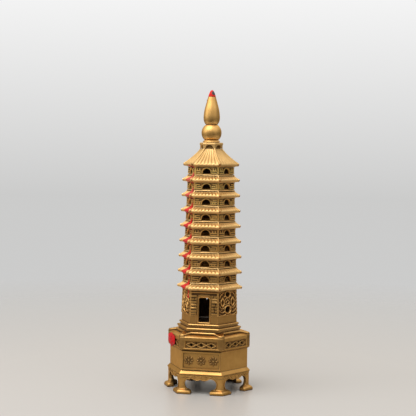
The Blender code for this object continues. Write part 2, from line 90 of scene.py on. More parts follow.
# %% [markdown]
# ## Studio
# Metal shows what stands around it. A plain white room would make the tower flat, so the world
# is bright overhead, fair at the sides and darker in front, where a photographer and an unlit
# room would be. The camera itself sees only a plain pale backdrop: the Light Path node picks that
# for camera rays. The floor is a pale disc that fades out, so it has no edge and no horizon.

# %% Node helpers


def add_node(tree, kind, **settings):
    """Add a node and set its options."""
    node = tree.nodes.new(kind)
    for name, value in settings.items():
        setattr(node, name, value)
    return node


def math_node(tree, operation, first, second=0.5):
    """A Math node whose inputs are numbers or sockets; returns its result."""
    node = add_node(tree, "ShaderNodeMath", operation=operation)
    for socket, value in zip(node.inputs, (first, second)):
        feed(tree, socket, value)
    return node.outputs[0]


def feed(tree, socket, value):
    """Give a socket a link if the value is a socket, or else a plain value."""
    if isinstance(value, bpy.types.NodeSocket):
        tree.links.new(value, socket)
    else:
        socket.default_value = value


def spread(tree, value, low, high, to_low=0.0, to_high=1.0):
    """Map a value's range from low..high to another range, without going past its ends."""
    node = add_node(tree, "ShaderNodeMapRange")
    for socket, number in zip(node.inputs, (value, low, high, to_low, to_high)):
        feed(tree, socket, number)
    return node.outputs[0]


def blend_colours(tree, share, first, second):
    """Mix two colours; share 0 gives the first one."""
    node = add_node(tree, "ShaderNodeMix", data_type="RGBA")
    feed(tree, node.inputs["Factor"], share)
    feed(tree, node.inputs[6], first)
    feed(tree, node.inputs[7], second)
    return node.outputs[2]


# %% World
BACKDROP_LOW = (0.60, 0.60, 0.595, 1.0)
BACKDROP_HIGH = (0.92, 0.92, 0.92, 1.0)
ROOM_LOW = (0.20, 0.18, 0.15, 1.0)
ROOM_LEVEL = (0.50, 0.47, 0.42, 1.0)
ROOM_TOP = (1.08, 1.05, 1.00, 1.0)
FRONT_SHADE = ((0.20, -0.95, -0.22), 0.50)
RIGHT_SHADE = ((0.93, 0.31, -0.10), 0.60)
LEFT_SHADE = ((-0.74, 0.66, -0.10), 0.30)


def make_world():
    """A studio room for reflections and a pale backdrop for the camera."""
    world = bpy.data.worlds.new("studio")
    bpy.context.scene.world = world
    world.use_nodes = True
    tree = world.node_tree
    tree.nodes.clear()
    direction = add_node(tree, "ShaderNodeTexCoord").outputs["Generated"]
    parts = add_node(tree, "ShaderNodeSeparateXYZ")
    tree.links.new(direction, parts.inputs[0])
    height = parts.outputs["Z"]
    lower = blend_colours(tree, spread(tree, height, -0.25, 0.05), ROOM_LOW, ROOM_LEVEL)
    room = blend_colours(tree, spread(tree, height, 0.10, 0.55), lower, ROOM_TOP)
    for toward, amount in (FRONT_SHADE, RIGHT_SHADE, LEFT_SHADE):
        facing = add_node(tree, "ShaderNodeVectorMath", operation="DOT_PRODUCT")
        tree.links.new(direction, facing.inputs[0])
        facing.inputs[1].default_value = toward
        shade = spread(tree, facing.outputs["Value"], 0.55, 0.90, 1.0, 1.0 - amount)
        dim = add_node(tree, "ShaderNodeMix", data_type="RGBA", blend_type="MULTIPLY")
        dim.inputs["Factor"].default_value = 1.0
        tree.links.new(room, dim.inputs[6])
        tree.links.new(shade, dim.inputs[7])
        room = dim.outputs[2]
    backdrop = blend_colours(tree, spread(tree, height, -0.04, 0.14), BACKDROP_LOW, BACKDROP_HIGH)
    seen = add_node(tree, "ShaderNodeLightPath").outputs["Is Camera Ray"]
    colour = blend_colours(tree, seen, room, backdrop)
    background = add_node(tree, "ShaderNodeBackground")
    tree.links.new(colour, background.inputs["Color"])
    output = add_node(tree, "ShaderNodeOutputWorld")
    tree.links.new(background.outputs[0], output.inputs["Surface"])


make_world()
bpy.context.scene.view_settings.view_transform = "Standard"
print("world ready")

# %% Lamps and floor
FLOOR_RADIUS = 1.5
FLOOR_SOLID = 0.22
FLOOR_GONE = 0.85
TABLE_EDGE = (-0.24, -0.15)
FLOOR_COLOUR = (0.52, 0.50, 0.48, 1.0)


def make_lamp(name, place, target, size, power, colour=(1.0, 1.0, 1.0)):
    """A square soft lamp that looks at a target."""
    data = bpy.data.lights.new(name, "AREA")
    data.size = size
    data.energy = power
    data.color = colour
    lamp = bpy.data.objects.new(name, data)
    bpy.context.scene.collection.objects.link(lamp)
    lamp.location = place
    lamp.rotation_euler = (Vector(target) - Vector(place)).to_track_quat("-Z", "Y").to_euler()
    return lamp


def make_floor():
    """A pale disc that turns clear toward its rim."""
    body = bmesh.new()
    bmesh.ops.create_circle(body, cap_ends=True, segments=96, radius=FLOOR_RADIUS)
    mesh = bpy.data.meshes.new("studio_floor")
    body.to_mesh(mesh)
    body.free()
    floor = bpy.data.objects.new("studio_floor", mesh)
    bpy.context.scene.collection.objects.link(floor)
    material = bpy.data.materials.new("pale_floor")
    material.use_nodes = True
    tree = material.node_tree
    shader = tree.nodes["Principled BSDF"]
    shader.inputs["Base Color"].default_value = FLOOR_COLOUR
    shader.inputs["Roughness"].default_value = 0.35
    place = add_node(tree, "ShaderNodeTexCoord").outputs["Object"]
    distance = add_node(tree, "ShaderNodeVectorMath", operation="LENGTH")
    tree.links.new(place, distance.inputs[0])
    clear = spread(tree, distance.outputs["Value"], FLOOR_SOLID, FLOOR_GONE, 1.0, 0.0)
    parts = add_node(tree, "ShaderNodeSeparateXYZ")
    tree.links.new(place, parts.inputs[0])
    front = spread(tree, parts.outputs["Y"], *TABLE_EDGE)
    clear = math_node(tree, "MULTIPLY", clear, front)
    tree.links.new(clear, shader.inputs["Alpha"])
    floor.data.materials.append(material)


make_lamp("overhead_softbox", (-0.30, -0.42, 1.06), (0.0, 0.0, 0.12), 0.9, 6.2)
make_lamp("left_softbox", (-0.95, -0.35, 0.55), (0.0, 0.0, 0.14), 0.6, 1.1)
make_lamp("right_softbox", (0.95, -0.15, 0.70), (0.0, 0.0, 0.14), 0.5, 0.2)
make_floor()
print("lamps and floor ready")

# %% [markdown]
# ## Shared finish effects
# The real finish is one gilt coat over a sand-rough casting. Four effects recur in every
# material, so each is a node group: grain of the casting, dark patina and painted shade in hollows,
# bright rubbed edges, and a little dust on what faces up. A group only gives out masks and heights.
# The shader itself stays in each material, so that the effect can be set differently there.

# %% A builder for node groups


def new_group(name, inputs, outputs):
    """An empty shader group with number inputs and outputs; returns its tree and two end nodes."""
    tree = bpy.data.node_groups.new(name, "ShaderNodeTree")
    for socket_name, default in inputs:
        socket = tree.interface.new_socket(socket_name, in_out="INPUT", socket_type="NodeSocketFloat")
        socket.default_value = default
    for socket_name in outputs:
        tree.interface.new_socket(socket_name, in_out="OUTPUT", socket_type="NodeSocketFloat")
    start = add_node(tree, "NodeGroupInput")
    end = add_node(tree, "NodeGroupOutput")
    return tree, start, end


def noise(tree, scale, detail=3.0, roughness=0.55):
    """A noise over the object's own space; scale is in waves per metre."""
    texture = add_node(tree, "ShaderNodeTexNoise")
    place = add_node(tree, "ShaderNodeTexCoord").outputs["Object"]
    tree.links.new(place, texture.inputs["Vector"])
    feed(tree, texture.inputs["Scale"], scale)
    texture.inputs["Detail"].default_value = detail
    texture.inputs["Roughness"].default_value = roughness
    return texture.outputs[0]


# %% Grain of the casting


def make_grain_group():
    """Fine sand grain and slow hand-worked waves, as one height, with a mottle for colour."""
    inputs = (("Grain Scale", 1400.0), ("Grain", 0.25), ("Waves", 1.0))
    tree, start, end = new_group("cast_grain", inputs, ("Height", "Mottle"))
    fine = math_node(tree, "MULTIPLY", noise(tree, start.outputs["Grain Scale"], 4.0), start.outputs["Grain"])
    slow = math_node(tree, "MULTIPLY", noise(tree, 170.0, 2.0), start.outputs["Waves"])
    height = math_node(tree, "ADD", fine, slow)
    mottle = spread(tree, noise(tree, 95.0, 5.0, 0.65), 0.32, 0.68)
    tree.links.new(height, end.inputs["Height"])
    tree.links.new(mottle, end.inputs["Mottle"])
    return tree


grain_group = make_grain_group()
print("group:", grain_group.name)

# %% Patina and painted shade in hollows
INTERIOR_SHADE_REACH = 0.08


def make_patina_shade_group():
    """How deep in a hollow a point lies, from 0 in the open to 1 inside, broken up by noise; the mask stands for patina
    and painted shade.
    """
    inputs = (("Reach", 0.002), ("Amount", 1.0))
    tree, start, end = new_group("hollow_patina_and_shade", inputs, ("Mask",))
    # Near reach: patina in crevices, and painted shade there and under the eaves.
    crevice = add_node(tree, "ShaderNodeAmbientOcclusion", samples=8)
    tree.links.new(start.outputs["Reach"], crevice.inputs["Distance"])
    near = spread(tree, crevice.outputs["AO"], 0.35, 0.90, 1.0, 0.0)
    broken = spread(tree, noise(tree, 620.0, 3.0), 0.3, 0.7, 0.8, 1.1)
    near = math_node(tree, "MULTIPLY", math_node(tree, "MULTIPLY", near, broken), start.outputs["Amount"])
    # Far reach: painted shade inside the hollow shaft, seen through the windows and the door.
    interior_shade_ao = add_node(tree, "ShaderNodeAmbientOcclusion", samples=8)
    interior_shade_ao.inputs["Distance"].default_value = INTERIOR_SHADE_REACH
    inside = spread(tree, interior_shade_ao.outputs["AO"], 0.14, 0.38, 1.0, 0.0)
    mask = math_node(tree, "MAXIMUM", near, inside)
    tree.links.new(spread(tree, mask, 0.0, 1.0), end.inputs["Mask"])
    return tree


patina_shade_group = make_patina_shade_group()
print("group:", patina_shade_group.name)

# %% Rubbed edges


def make_edge_group():
    """Where the surface turns sharply: the rounded normal differs there from the true one."""
    inputs = (("Width", 0.0003), ("Amount", 1.0))
    tree, start, end = new_group("rubbed_edges", inputs, ("Mask",))
    rounded = add_node(tree, "ShaderNodeBevel", samples=4)
    tree.links.new(start.outputs["Width"], rounded.inputs["Radius"])
    true_normal = add_node(tree, "ShaderNodeNewGeometry").outputs["Normal"]
    same = add_node(tree, "ShaderNodeVectorMath", operation="DOT_PRODUCT")
    tree.links.new(rounded.outputs[0], same.inputs[0])
    tree.links.new(true_normal, same.inputs[1])
    edge = spread(tree, same.outputs["Value"], 0.97, 0.75, 0.0, 1.0)
    worn = spread(tree, noise(tree, 420.0, 4.0), 0.35, 0.6, 0.35, 1.0)
    mask = math_node(tree, "MULTIPLY", math_node(tree, "MULTIPLY", edge, worn), start.outputs["Amount"])
    tree.links.new(spread(tree, mask, 0.0, 1.0), end.inputs["Mask"])
    return tree


edge_group = make_edge_group()
print("group:", edge_group.name)

# %% Dust on upward faces


def make_dust_group():
    """A thin film on what faces up, in soft patches."""
    inputs = (("Amount", 0.3),)
    tree, start, end = new_group("settled_dust", inputs, ("Mask",))
    normal = add_node(tree, "ShaderNodeNewGeometry").outputs["Normal"]
    parts = add_node(tree, "ShaderNodeSeparateXYZ")
    tree.links.new(normal, parts.inputs[0])
    facing_up = spread(tree, parts.outputs["Z"], 0.55, 0.95)
    patches = spread(tree, noise(tree, 260.0, 5.0, 0.7), 0.4, 0.7)
    mask = math_node(tree, "MULTIPLY", math_node(tree, "MULTIPLY", facing_up, patches), start.outputs["Amount"])
    tree.links.new(mask, end.inputs["Mask"])
    return tree


dust_group = make_dust_group()
print("group:", dust_group.name)

# %% [markdown]
# ## Materials
# Gilt brass on the tower and a slightly browner bronze tone on the stand come from one recipe
# with different colours. Red paint sits on the finial's point, on a ribbon and on a plaque: it is
# a glossy coat that has chipped, and where it is gone the brass shows. In the hollows the colour
# turns an almost matt brown, partly patina and partly painted shade, so Metallic drops there as
# well. Hands rub the treads and the spire smooth. The storeys' walls and trims are painted
# brighter toward the top as painted light, so each storey has its own pair of tones, and the
# walls' ground is a darker copy of the trims, painted shade between the reliefs. The eave tiles,
# the crown and the roof are lighter copies of the gilt, painted light where they face up.

# %% Recipe for cast metal
DUST_COLOUR = (0.62, 0.52, 0.38, 1.0)
LACQUER = 0.18
GLANCING_TONE = (0.92, 0.68, 0.40, 1.0)
# Painted shade: a dark tone laid over the ground storey's wall above its dado, behind the carving and the bricks.
RECESS_SHADE = (0.17, 0.085, 0.028, 1.0)


def use_group(tree, group, **values):
    """Place a group in a material with its own values."""
    node = add_node(tree, "ShaderNodeGroup", node_tree=group)
    for name, value in values.items():
        node.inputs[name.replace("_", " ")].default_value = value
    return node


def add_bump(tree, shader, height, depth):
    """Feed a height to the shader through a Bump node."""
    bump = add_node(tree, "ShaderNodeBump")
    bump.inputs["Strength"].default_value = 0.6
    bump.inputs["Distance"].default_value = depth
    tree.links.new(height, bump.inputs["Height"])
    tree.links.new(bump.outputs[0], shader.inputs["Normal"])


def cast_metal(name, slot, colours, roughness, patina_reach=0.0022, sand=0.25, waves=1.0, shade_above=None):
    """Lacquered casting in open, mottled, rubbed and hollow tones; the hollow tone is patina and painted shade, and
    painted shade may darken it above a level.
    """
    material = bpy.data.materials.new(name)
    material.use_nodes = True
    material["slot"] = slot
    tree = material.node_tree
    shader = tree.nodes["Principled BSDF"]
    open_tone, mottled_tone, rubbed_tone, patina_shade_tone = [(*colour, 1.0) for colour in colours]
    shader.inputs["Coat Weight"].default_value = LACQUER
    shader.inputs["Coat Roughness"].default_value = 0.30
    shader.inputs["Specular Tint"].default_value = GLANCING_TONE
    grain = use_group(tree, grain_group, Grain=sand, Waves=waves)
    hollow = use_group(tree, patina_shade_group, Reach=patina_reach)
    rubbed = use_group(tree, edge_group, Amount=0.8)
    dust = use_group(tree, dust_group, Amount=0.22)
    colour = blend_colours(tree, grain.outputs["Mottle"], open_tone, mottled_tone)
    if shade_above:
        parts = add_node(tree, "ShaderNodeSeparateXYZ")
        tree.links.new(add_node(tree, "ShaderNodeTexCoord").outputs["Object"], parts.inputs[0])
        recess_shade_share = spread(tree, parts.outputs["Z"], shade_above, shade_above + 0.5 * MM)
        colour = blend_colours(tree, recess_shade_share, colour, RECESS_SHADE)
    colour = blend_colours(tree, rubbed.outputs["Mask"], colour, rubbed_tone)
    # Patina and painted shade in the hollows, and painted shade inside the shaft.
    colour = blend_colours(tree, hollow.outputs["Mask"], colour, patina_shade_tone)
    colour = blend_colours(tree, dust.outputs["Mask"], colour, DUST_COLOUR)
    tree.links.new(colour, shader.inputs["Base Color"])
    rough = spread(tree, grain.outputs["Mottle"], 0.0, 1.0, roughness - 0.05, roughness + 0.07)
    rough = math_node(tree, "ADD", rough, math_node(tree, "MULTIPLY", hollow.outputs["Mask"], 0.22))
    tree.links.new(rough, shader.inputs["Roughness"])
    # Metallic drops with the same mask, in the patina and in the painted shade.
    metal = spread(tree, hollow.outputs["Mask"], 0.0, 1.0, 1.0, 0.3)
    tree.links.new(metal, shader.inputs["Metallic"])
    add_bump(tree, shader, grain.outputs["Height"], 0.00022)
    return material


# %% The two metal tones and the dark ends
CARVING_FOOT = 65.6 * MM
gilt = cast_metal("gilt_brass", "gilt",
                  ((0.67, 0.38, 0.12), (0.57, 0.31, 0.09), (0.92, 0.62, 0.28), (0.045, 0.022, 0.009)), 0.36)
bronze = cast_metal("bronzed_stand", "bronze",
                    ((0.60, 0.335, 0.095), (0.50, 0.265, 0.070), (0.88, 0.58, 0.25), (0.045, 0.022, 0.009)),
                    0.36, 0.003)
# A darker bronze: painted shade on the lattice panels behind the bars and in the crown's core; on the posts, the
# rosettes and the spire's speck it gives a darker tone.
tarnish_and_shade = cast_metal("tarnish_and_painted_shade", "bronze",
                       ((0.36, 0.20, 0.06), (0.27, 0.145, 0.045), (0.55, 0.33, 0.12), (0.03, 0.016, 0.008)), 0.46)
# Painted light: the eave tiles, their corner ridges and the crown take a lighter, yellower copy of the gilt for faces
# that turn up to the lamps, with a light hollow tone.
tiled = cast_metal("gilt_eave_tiles_painted_light", "gilt",
                   ((0.90, 0.60, 0.25), (0.86, 0.56, 0.22), (0.97, 0.74, 0.40), (0.45, 0.25, 0.08)), 0.50, 0.0020,
                   0.15, 0.3)
# Painted light: the top roof takes a second lighter copy of the gilt.
roof_painted_light = cast_metal("gilt_roof_tiles_painted_light", "gilt",
                    ((0.74, 0.50, 0.21), (0.70, 0.46, 0.185), (0.93, 0.68, 0.36), (0.38, 0.225, 0.08)), 0.54, 0.0018,
                    0.15, 0.3)
polished = cast_metal("gilt_spire", "gilt",
                      ((0.82, 0.49, 0.16), (0.79, 0.46, 0.145), (0.92, 0.64, 0.30), (0.06, 0.03, 0.012)), 0.40, 0.001,
                      0.05, 0.15)
# The ground storey's walls: painted shade above the dado, behind the carving and the bricks.
carved = cast_metal("gilt_carving_ground_painted_shade", "gilt",
                    ((0.60, 0.33, 0.10), (0.50, 0.265, 0.075), (0.90, 0.60, 0.26), (0.065, 0.038, 0.020)), 0.40, 0.0045,
                    shade_above=CARVING_FOOT)
treads = cast_metal("gilt_treads", "gilt",
                    ((0.70, 0.40, 0.13), (0.60, 0.33, 0.10), (0.98, 0.74, 0.40), (0.045, 0.022, 0.009)), 0.27, 0.0022,
                    0.12, 0.5)
# The ridges' blunt ends in a darker brown.
dark_end_metal = cast_metal("dark_ridge_ends", "gilt",
                  ((0.48, 0.20, 0.06), (0.36, 0.14, 0.045), (0.66, 0.36, 0.13), (0.06, 0.02, 0.01)), 0.42)
# Painted shade: a very dark metal for the eave necks under the rails and for the window linings.
painted_shade_metal = cast_metal("painted_shade_hollows", "gilt",
                    ((0.22, 0.12, 0.042), (0.15, 0.08, 0.03), (0.34, 0.20, 0.075), (0.03, 0.016, 0.008)), 0.55)
METALS = (gilt, bronze, tarnish_and_shade, tiled, roof_painted_light, polished, carved, treads, dark_end_metal, painted_shade_metal)
print("metals:", ", ".join(metal.name for metal in METALS))

# %% Grounds and trims, painted brighter toward the top as painted light
# Painted shade: the ground behind the reliefs is a darker copy of the trim tones.
SHADED_GROUND_TONES = ((0.44, 0.25, 0.09), (0.30, 0.165, 0.058), (0.70, 0.44, 0.18), (0.045, 0.026, 0.016))
TRIM_TONES = ((0.67, 0.38, 0.12), (0.57, 0.31, 0.09), (0.92, 0.62, 0.28), (0.045, 0.022, 0.009))
PAINTED_LIGHT_GAIN = 1.0


def with_painted_light(tones, share):
    """The same tones, brighter by a share of the gain that the top storey has: painted light."""
    gain = 1.0 + PAINTED_LIGHT_GAIN * share
    return [tuple(min(value * gain, 0.95) for value in tone) for tone in tones]


grounds_painted_light_shade = {}
trims_painted_light = {}
for storey in range(2, 10):
    share = (storey - 2) / 7.0
    grounds_painted_light_shade[storey] = cast_metal("ground_%d" % storey, "gilt", with_painted_light(SHADED_GROUND_TONES, share), 0.50)
    trims_painted_light[storey] = cast_metal("trim_%d" % storey, "gilt", with_painted_light(TRIM_TONES, share * 0.85), 0.44)
print("storey finishes:", len(grounds_painted_light_shade) + len(trims_painted_light))

# %% Chipped red paint


def chipped_paint(name, paint_tones, wear_low, wear_high, bare_spot=None):
    """Red enamel; it's gone where the wear noise is high, and within 2 mm of a bare spot."""
    material = bpy.data.materials.new(name)
    material.use_nodes = True
    material["slot"] = "red_paint"
    tree = material.node_tree
    shader = tree.nodes["Principled BSDF"]
    shader.inputs["Specular IOR Level"].default_value = 0.15
    shader.inputs["Coat Roughness"].default_value = 0.15
    bright, deep, metal_tone = [(*colour, 1.0) for colour in paint_tones]
    grain = use_group(tree, grain_group, Grain=0.12)
    hollow = use_group(tree, patina_shade_group, Reach=0.002, Amount=0.8)
    rubbed = use_group(tree, edge_group, Width=0.00035, Amount=0.7)
    paint = blend_colours(tree, spread(tree, noise(tree, 240.0, 3.0), 0.35, 0.7), bright, deep)
    # The red turns dark in hollows: painted shade.
    paint = blend_colours(tree, hollow.outputs["Mask"], paint, (0.10, 0.006, 0.006, 1.0))
    chips = spread(tree, noise(tree, 380.0, 6.0, 0.7), wear_low, wear_high)
    chips = math_node(tree, "MAXIMUM", chips, math_node(tree, "MULTIPLY", rubbed.outputs["Mask"], 0.5))
    if bare_spot:
        away = add_node(tree, "ShaderNodeVectorMath", operation="DISTANCE")
        tree.links.new(add_node(tree, "ShaderNodeTexCoord").outputs["Object"], away.inputs[0])
        away.inputs[1].default_value = bare_spot
        bare = spread(tree, away.outputs["Value"], 1.7 * MM, 2.1 * MM, 1.0, 0.0)
        chips = math_node(tree, "MAXIMUM", chips, bare)
    colour = blend_colours(tree, chips, paint, metal_tone)
    tree.links.new(colour, shader.inputs["Base Color"])
    tree.links.new(spread(tree, chips, 0.0, 1.0, 0.0, 0.7), shader.inputs["Metallic"])
    tree.links.new(spread(tree, chips, 0.0, 1.0, 0.52, 0.5), shader.inputs["Roughness"])
    tree.links.new(spread(tree, chips, 0.0, 1.0, 0.05, 0.0), shader.inputs["Coat Weight"])
    add_bump(tree, shader, grain.outputs["Height"], 0.00016)
    return material


red_paint = chipped_paint("red_paint", ((0.78, 0.022, 0.014), (0.50, 0.010, 0.008), (0.66, 0.30, 0.09)), 0.58, 0.66)
faded_paint = chipped_paint("faded_red_paint",
                            ((0.74, 0.095, 0.065), (0.58, 0.055, 0.040), (0.80, 0.48, 0.19)), 0.58, 0.68)
red_tip = chipped_paint("red_point", ((0.86, 0.030, 0.012), (0.66, 0.014, 0.008), (0.10, 0.085, 0.09)), 0.64, 0.72,
                        (1.9 * MM, -1.5 * MM, 257.3 * MM))
red_gloss = chipped_paint("red_enamel", ((0.66, 0.006, 0.010), (0.38, 0.003, 0.006), (0.30, 0.05, 0.02)), 0.66, 0.74)
print("paints:", red_paint.name, faded_paint.name, red_tip.name, red_gloss.name)

# %% Carry the frame's own nodes over
BRONZE_PARTS = ("stand_rim", "leg_", "dado_block", "band_", "lattice_")


def finish_frame():
    """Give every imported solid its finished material."""
    for name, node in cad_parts.items():
        material = gilt
        if name.startswith(BRONZE_PARTS):
            material = bronze
        # Imported storey walls take their storey's ground with painted light and shade; the ground storey's take the
        # carving ground, painted shade above the dado.
        if name.startswith("storey_"):
            material = grounds_painted_light_shade.get(int(name.split("_")[1]), carved)
        # Lattice panels behind the bars: painted shade.
        if name.startswith("lattice_"):
            material = tarnish_and_shade
        node.data.materials.clear()
        node.data.materials.append(material)


finish_frame()
print("packed solids with a finish:", len(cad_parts))

# %% [markdown]
# ## Measures of the tower
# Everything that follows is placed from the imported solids: the shaft's taper comes from the first
# and the last storey, and each eave gives its own level and reach. A "radius" always means the
# distance from the axis to a corner of the hexagon. Corners lie every 60 degrees from +X; side 4
# is the front, side 3 its left neighbour.

# %% Directions and radii
SIDES = 6
FRONT = 4
LEFT = 3
STOREYS = 9
APOTHEM = math.cos(math.pi / SIDES)
SHELL = 2.2 * MM
CORNICE_DROP = 1.5 * MM
RAIL_TOP = 5.9 * MM
first_low, first_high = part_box("storey_1_wall")
last_low, last_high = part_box("storey_%d_wall" % STOREYS)
TAPER = (first_high.x - last_high.x) / (last_low.z - first_low.z)


def corner_direction(corner):
    """Level direction from the axis to a corner."""
    angle = math.radians(60.0 * corner)
    return Vector((math.cos(angle), math.sin(angle), 0.0))


def side_normal(side):
    """Outward direction of a side, halfway between its two corners."""
    return corner_direction(side + 0.5)


def wall_radius(level):
    """Corner radius of the tapering shaft."""
    return first_high.x - TAPER * (level - first_low.z)


def side_point(side, across, level, radius, proud=0.0):
    """A point of a side; across runs from its middle toward the next corner."""
    normal = side_normal(side)
    return normal * (radius * APOTHEM + proud) + UP.cross(normal) * across + UP * level


print("shaft radius in mm, foot and top:", round(first_high.x / MM, 2), round(last_high.x / MM, 2))

# %% [markdown]
# ## Tools for shapes
# Three tools make almost every piece. `skin` joins loops of points, like the hoops of a barrel.
# `sweep` runs a small cross section along a path on a surface, which gives frames, beads, bars and
# ridges. `dome` raises an outline into a cushion, for petals, bricks and bosses. All are plain
# mesh code, so every size stays a named number.

# %% Skin, sweep and turned shapes
SINK = 0.25 * MM
EDGE_ANGLE = 40.0


def skin(body, loops, closed=False):
    """Join loops of equally many points, and cap the two ends unless the row is closed."""
    rows = [[body.verts.new(point) for point in loop] for loop in loops]
    pairs = list(zip(rows, rows[1:]))
    if closed:
        pairs.append((rows[-1], rows[0]))
    count = len(rows[0])
    for lower, upper in pairs:
        for index in range(count):
            following = (index + 1) % count
            body.faces.new((lower[index], lower[following], upper[following], upper[index]))
    if not closed:
        body.faces.new(rows[0])
        body.faces.new(rows[-1])


def sweep(body, path, section, closed=False, sizes=None):
    """Run a section of (offset, height) points along a path of (point, outward) pairs."""
    loops = []
    last = len(path) - 1
    for index, (point, outward) in enumerate(path):
        before = path[index - 1][0] if closed or index > 0 else point
        after = path[(index + 1) % len(path)][0] if closed or index < last else point
        ahead = (after - point) if after != point else (point - before)
        behind = (point - before) if before != point else (after - point)
        forward = (ahead.normalized() + behind.normalized()).normalized()
        sideways = forward.cross(outward).normalized()
        mitre = 1.0 / max(0.4, forward.dot(ahead.normalized()))
        size = sizes[index] if sizes else 1.0
        loops.append([point + sideways * (offset * mitre * size) + outward * (height * size)
                      for offset, height in section])
    skin(body, loops, closed)


def turned(body, profile, segments=16, axis_at=None):
    """Turn a profile of (radius, level) points around an upright line that may lean inward."""
    loops = []
    for radius, level in profile:
        centre = axis_at(level) if axis_at else UP * level
        loop = []
        for step in range(segments):
            angle = 2.0 * math.pi * step / segments
            loop.append(centre + Vector((math.cos(angle), math.sin(angle), 0.0)) * radius)
        loops.append(loop)
    skin(body, loops)


def smooth_path(points, steps):
    """A Catmull-Rom curve through points, with some steps between neighbours."""
    points = [Vector(point) for point in points]
    padded = [points[0] * 2.0 - points[1]] + points + [points[-1] * 2.0 - points[-2]]
    curve = []
    for before, start, end, after in zip(padded, padded[1:], padded[2:], padded[3:]):
        for step in range(steps):
            t = step / steps
            curve.append(0.5 * (start * 2.0 + (end - before) * t
                                + (before * 2.0 - start * 5.0 + end * 4.0 - after) * t ** 2
                                + (start * 3.0 - before - end * 3.0 + after) * t ** 3))
    curve.append(points[-1])
    return curve


# %% Sections, surfaces and cushions


def bead(width, height, steps=6, sink=SINK):
    """A half-round section."""
    half = width / 2.0
    arc = [(-half * math.cos(math.pi * step / steps), height * math.sin(math.pi * step / steps))
           for step in range(steps + 1)]
    return [(-half, -sink)] + arc + [(half, -sink)]


def strip(width, height, edge, sink=SINK):
    """A flat bar section with softened edges."""
    half = width / 2.0
    soft = edge * 0.3
    rise = [(-half, -sink), (-half, height - edge), (-half + soft, height - soft), (-half + edge, height)]
    return rise + [(-offset, level) for offset, level in reversed(rise)]


def on_side(side, path, radius_at=wall_radius, proud=0.0):
    """Lay a path of (across, level) points on a side, with the side's outward direction."""
    normal = side_normal(side)
    return [(side_point(side, across, level, radius_at(level), proud), normal) for across, level in path]


def dome(body, side, outline, height, radius_at=wall_radius, rings=3, flat=0.0, sink=SINK):
    """Raise an outline into a cushion; flat is the share of it that stays level on top."""
    middle = (sum(across for across, level in outline) / len(outline),
              sum(level for across, level in outline) / len(outline))
    loops = []
    for step in range(-1, rings + 1):
        turn = math.pi / 2.0 * max(step, 0) / rings
        size = flat + (1.0 - flat) * max(math.cos(turn), 0.04)
        rise = -sink if step < 0 else height * math.sin(turn)
        loop = []
        for across, level in outline:
            place = (middle[0] + (across - middle[0]) * size, middle[1] + (level - middle[1]) * size)
            loop.append(side_point(side, place[0], place[1], radius_at(place[1]), rise))
        loops.append(loop)
    skin(body, loops)


def oval(width, height, across, level, steps=20, start=0.0):
    """An oval outline."""
    turns = [start + 2.0 * math.pi * step / steps for step in range(steps)]
    return [(across + width / 2.0 * math.cos(turn), level - height / 2.0 * math.sin(turn)) for turn in turns]


def box_outline(low_across, high_across, low, high, corner=0.0):
    """A rectangle, with its corners cut off if a corner size is given."""
    if not corner:
        return [(low_across, low), (low_across, high), (high_across, high), (high_across, low)]
    return [(low_across, low + corner), (low_across, high - corner), (low_across + corner, high),
            (high_across - corner, high), (high_across, high - corner), (high_across, low + corner),
            (high_across - corner, low), (low_across + corner, low)]


# %% Finish a piece
piece_triangles = {}


def add_piece(name, body, material, stands_for=(), sharp=EDGE_ANGLE):
    """Turn a finished bmesh into a piece that rides on the tower."""
    bmesh.ops.recalc_face_normals(body, faces=body.faces)
    mesh = bpy.data.meshes.new(name)
    body.to_mesh(mesh)
    body.free()
    mesh.shade_smooth()
    mesh.set_sharp_from_angle(angle=math.radians(sharp))
    mesh.materials.append(material)
    piece = bpy.data.objects.new(name, mesh)
    bpy.context.scene.collection.objects.link(piece)
    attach(piece, "root")
    if stands_for:
        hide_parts(*stands_for)
    mesh.calc_loop_triangles()
    piece_triangles[name] = len(mesh.loop_triangles)
    return piece


print("tools ready")

# %% [markdown]
# ## Eaves
# Each eave is a shallow skirt of tiles between a flared cornice and a narrow rail. On a casting
# this small the tiles are rounded ridges that melt into the slope, so they aren't separate bars:
# the eave is one loft whose points are lifted where a ridge runs. The corner ridges are swept
# over it, with a knob at the wall and a blunt dark end at the tip.

# %% Rings with tile ridges
TILE_STEPS = 8
TIP_REACH = 0.6 * MM
TIP_LIFT = -0.3 * MM


def tile_stations(count):
    """Places along a side, each with the height share of a tile ridge there."""
    stations = []
    for step in range(count * TILE_STEPS):
        turn = math.pi * step / TILE_STEPS
        stations.append((step / (count * TILE_STEPS), abs(math.sin(turn)) ** 0.55))
    return stations


def hexagon(radius, level, stations=((0.0, 0.0),), ridge=0.0, reach=0.0):
    """A ring around the tower; reach pushes its corners out and down, ridge raises the tiles."""
    points = []
    for side in range(SIDES):
        start = corner_direction(side) * radius
        end = corner_direction(side + 1) * radius
        for share, height in stations:
            cornerness = abs(2.0 * share - 1.0) ** 5
            point = start.lerp(end, share)
            point += point.normalized() * (TIP_REACH * reach * cornerness)
            point += side_normal(side) * (ridge * height * 0.6)
            point.z = level + TIP_LIFT * reach * cornerness + ridge * height
            points.append(point)
    return points


# %% Eave section
EAVE_TILES = 8
EAVE_RIDGE = 0.8 * MM


def eave_size(storey):
    """Level of an eave's edge and its corner radius; the last one is the roof's."""
    low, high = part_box("roof" if storey == STOREYS else "eave_%d" % storey)
    return low.z + CORNICE_DROP, high.x


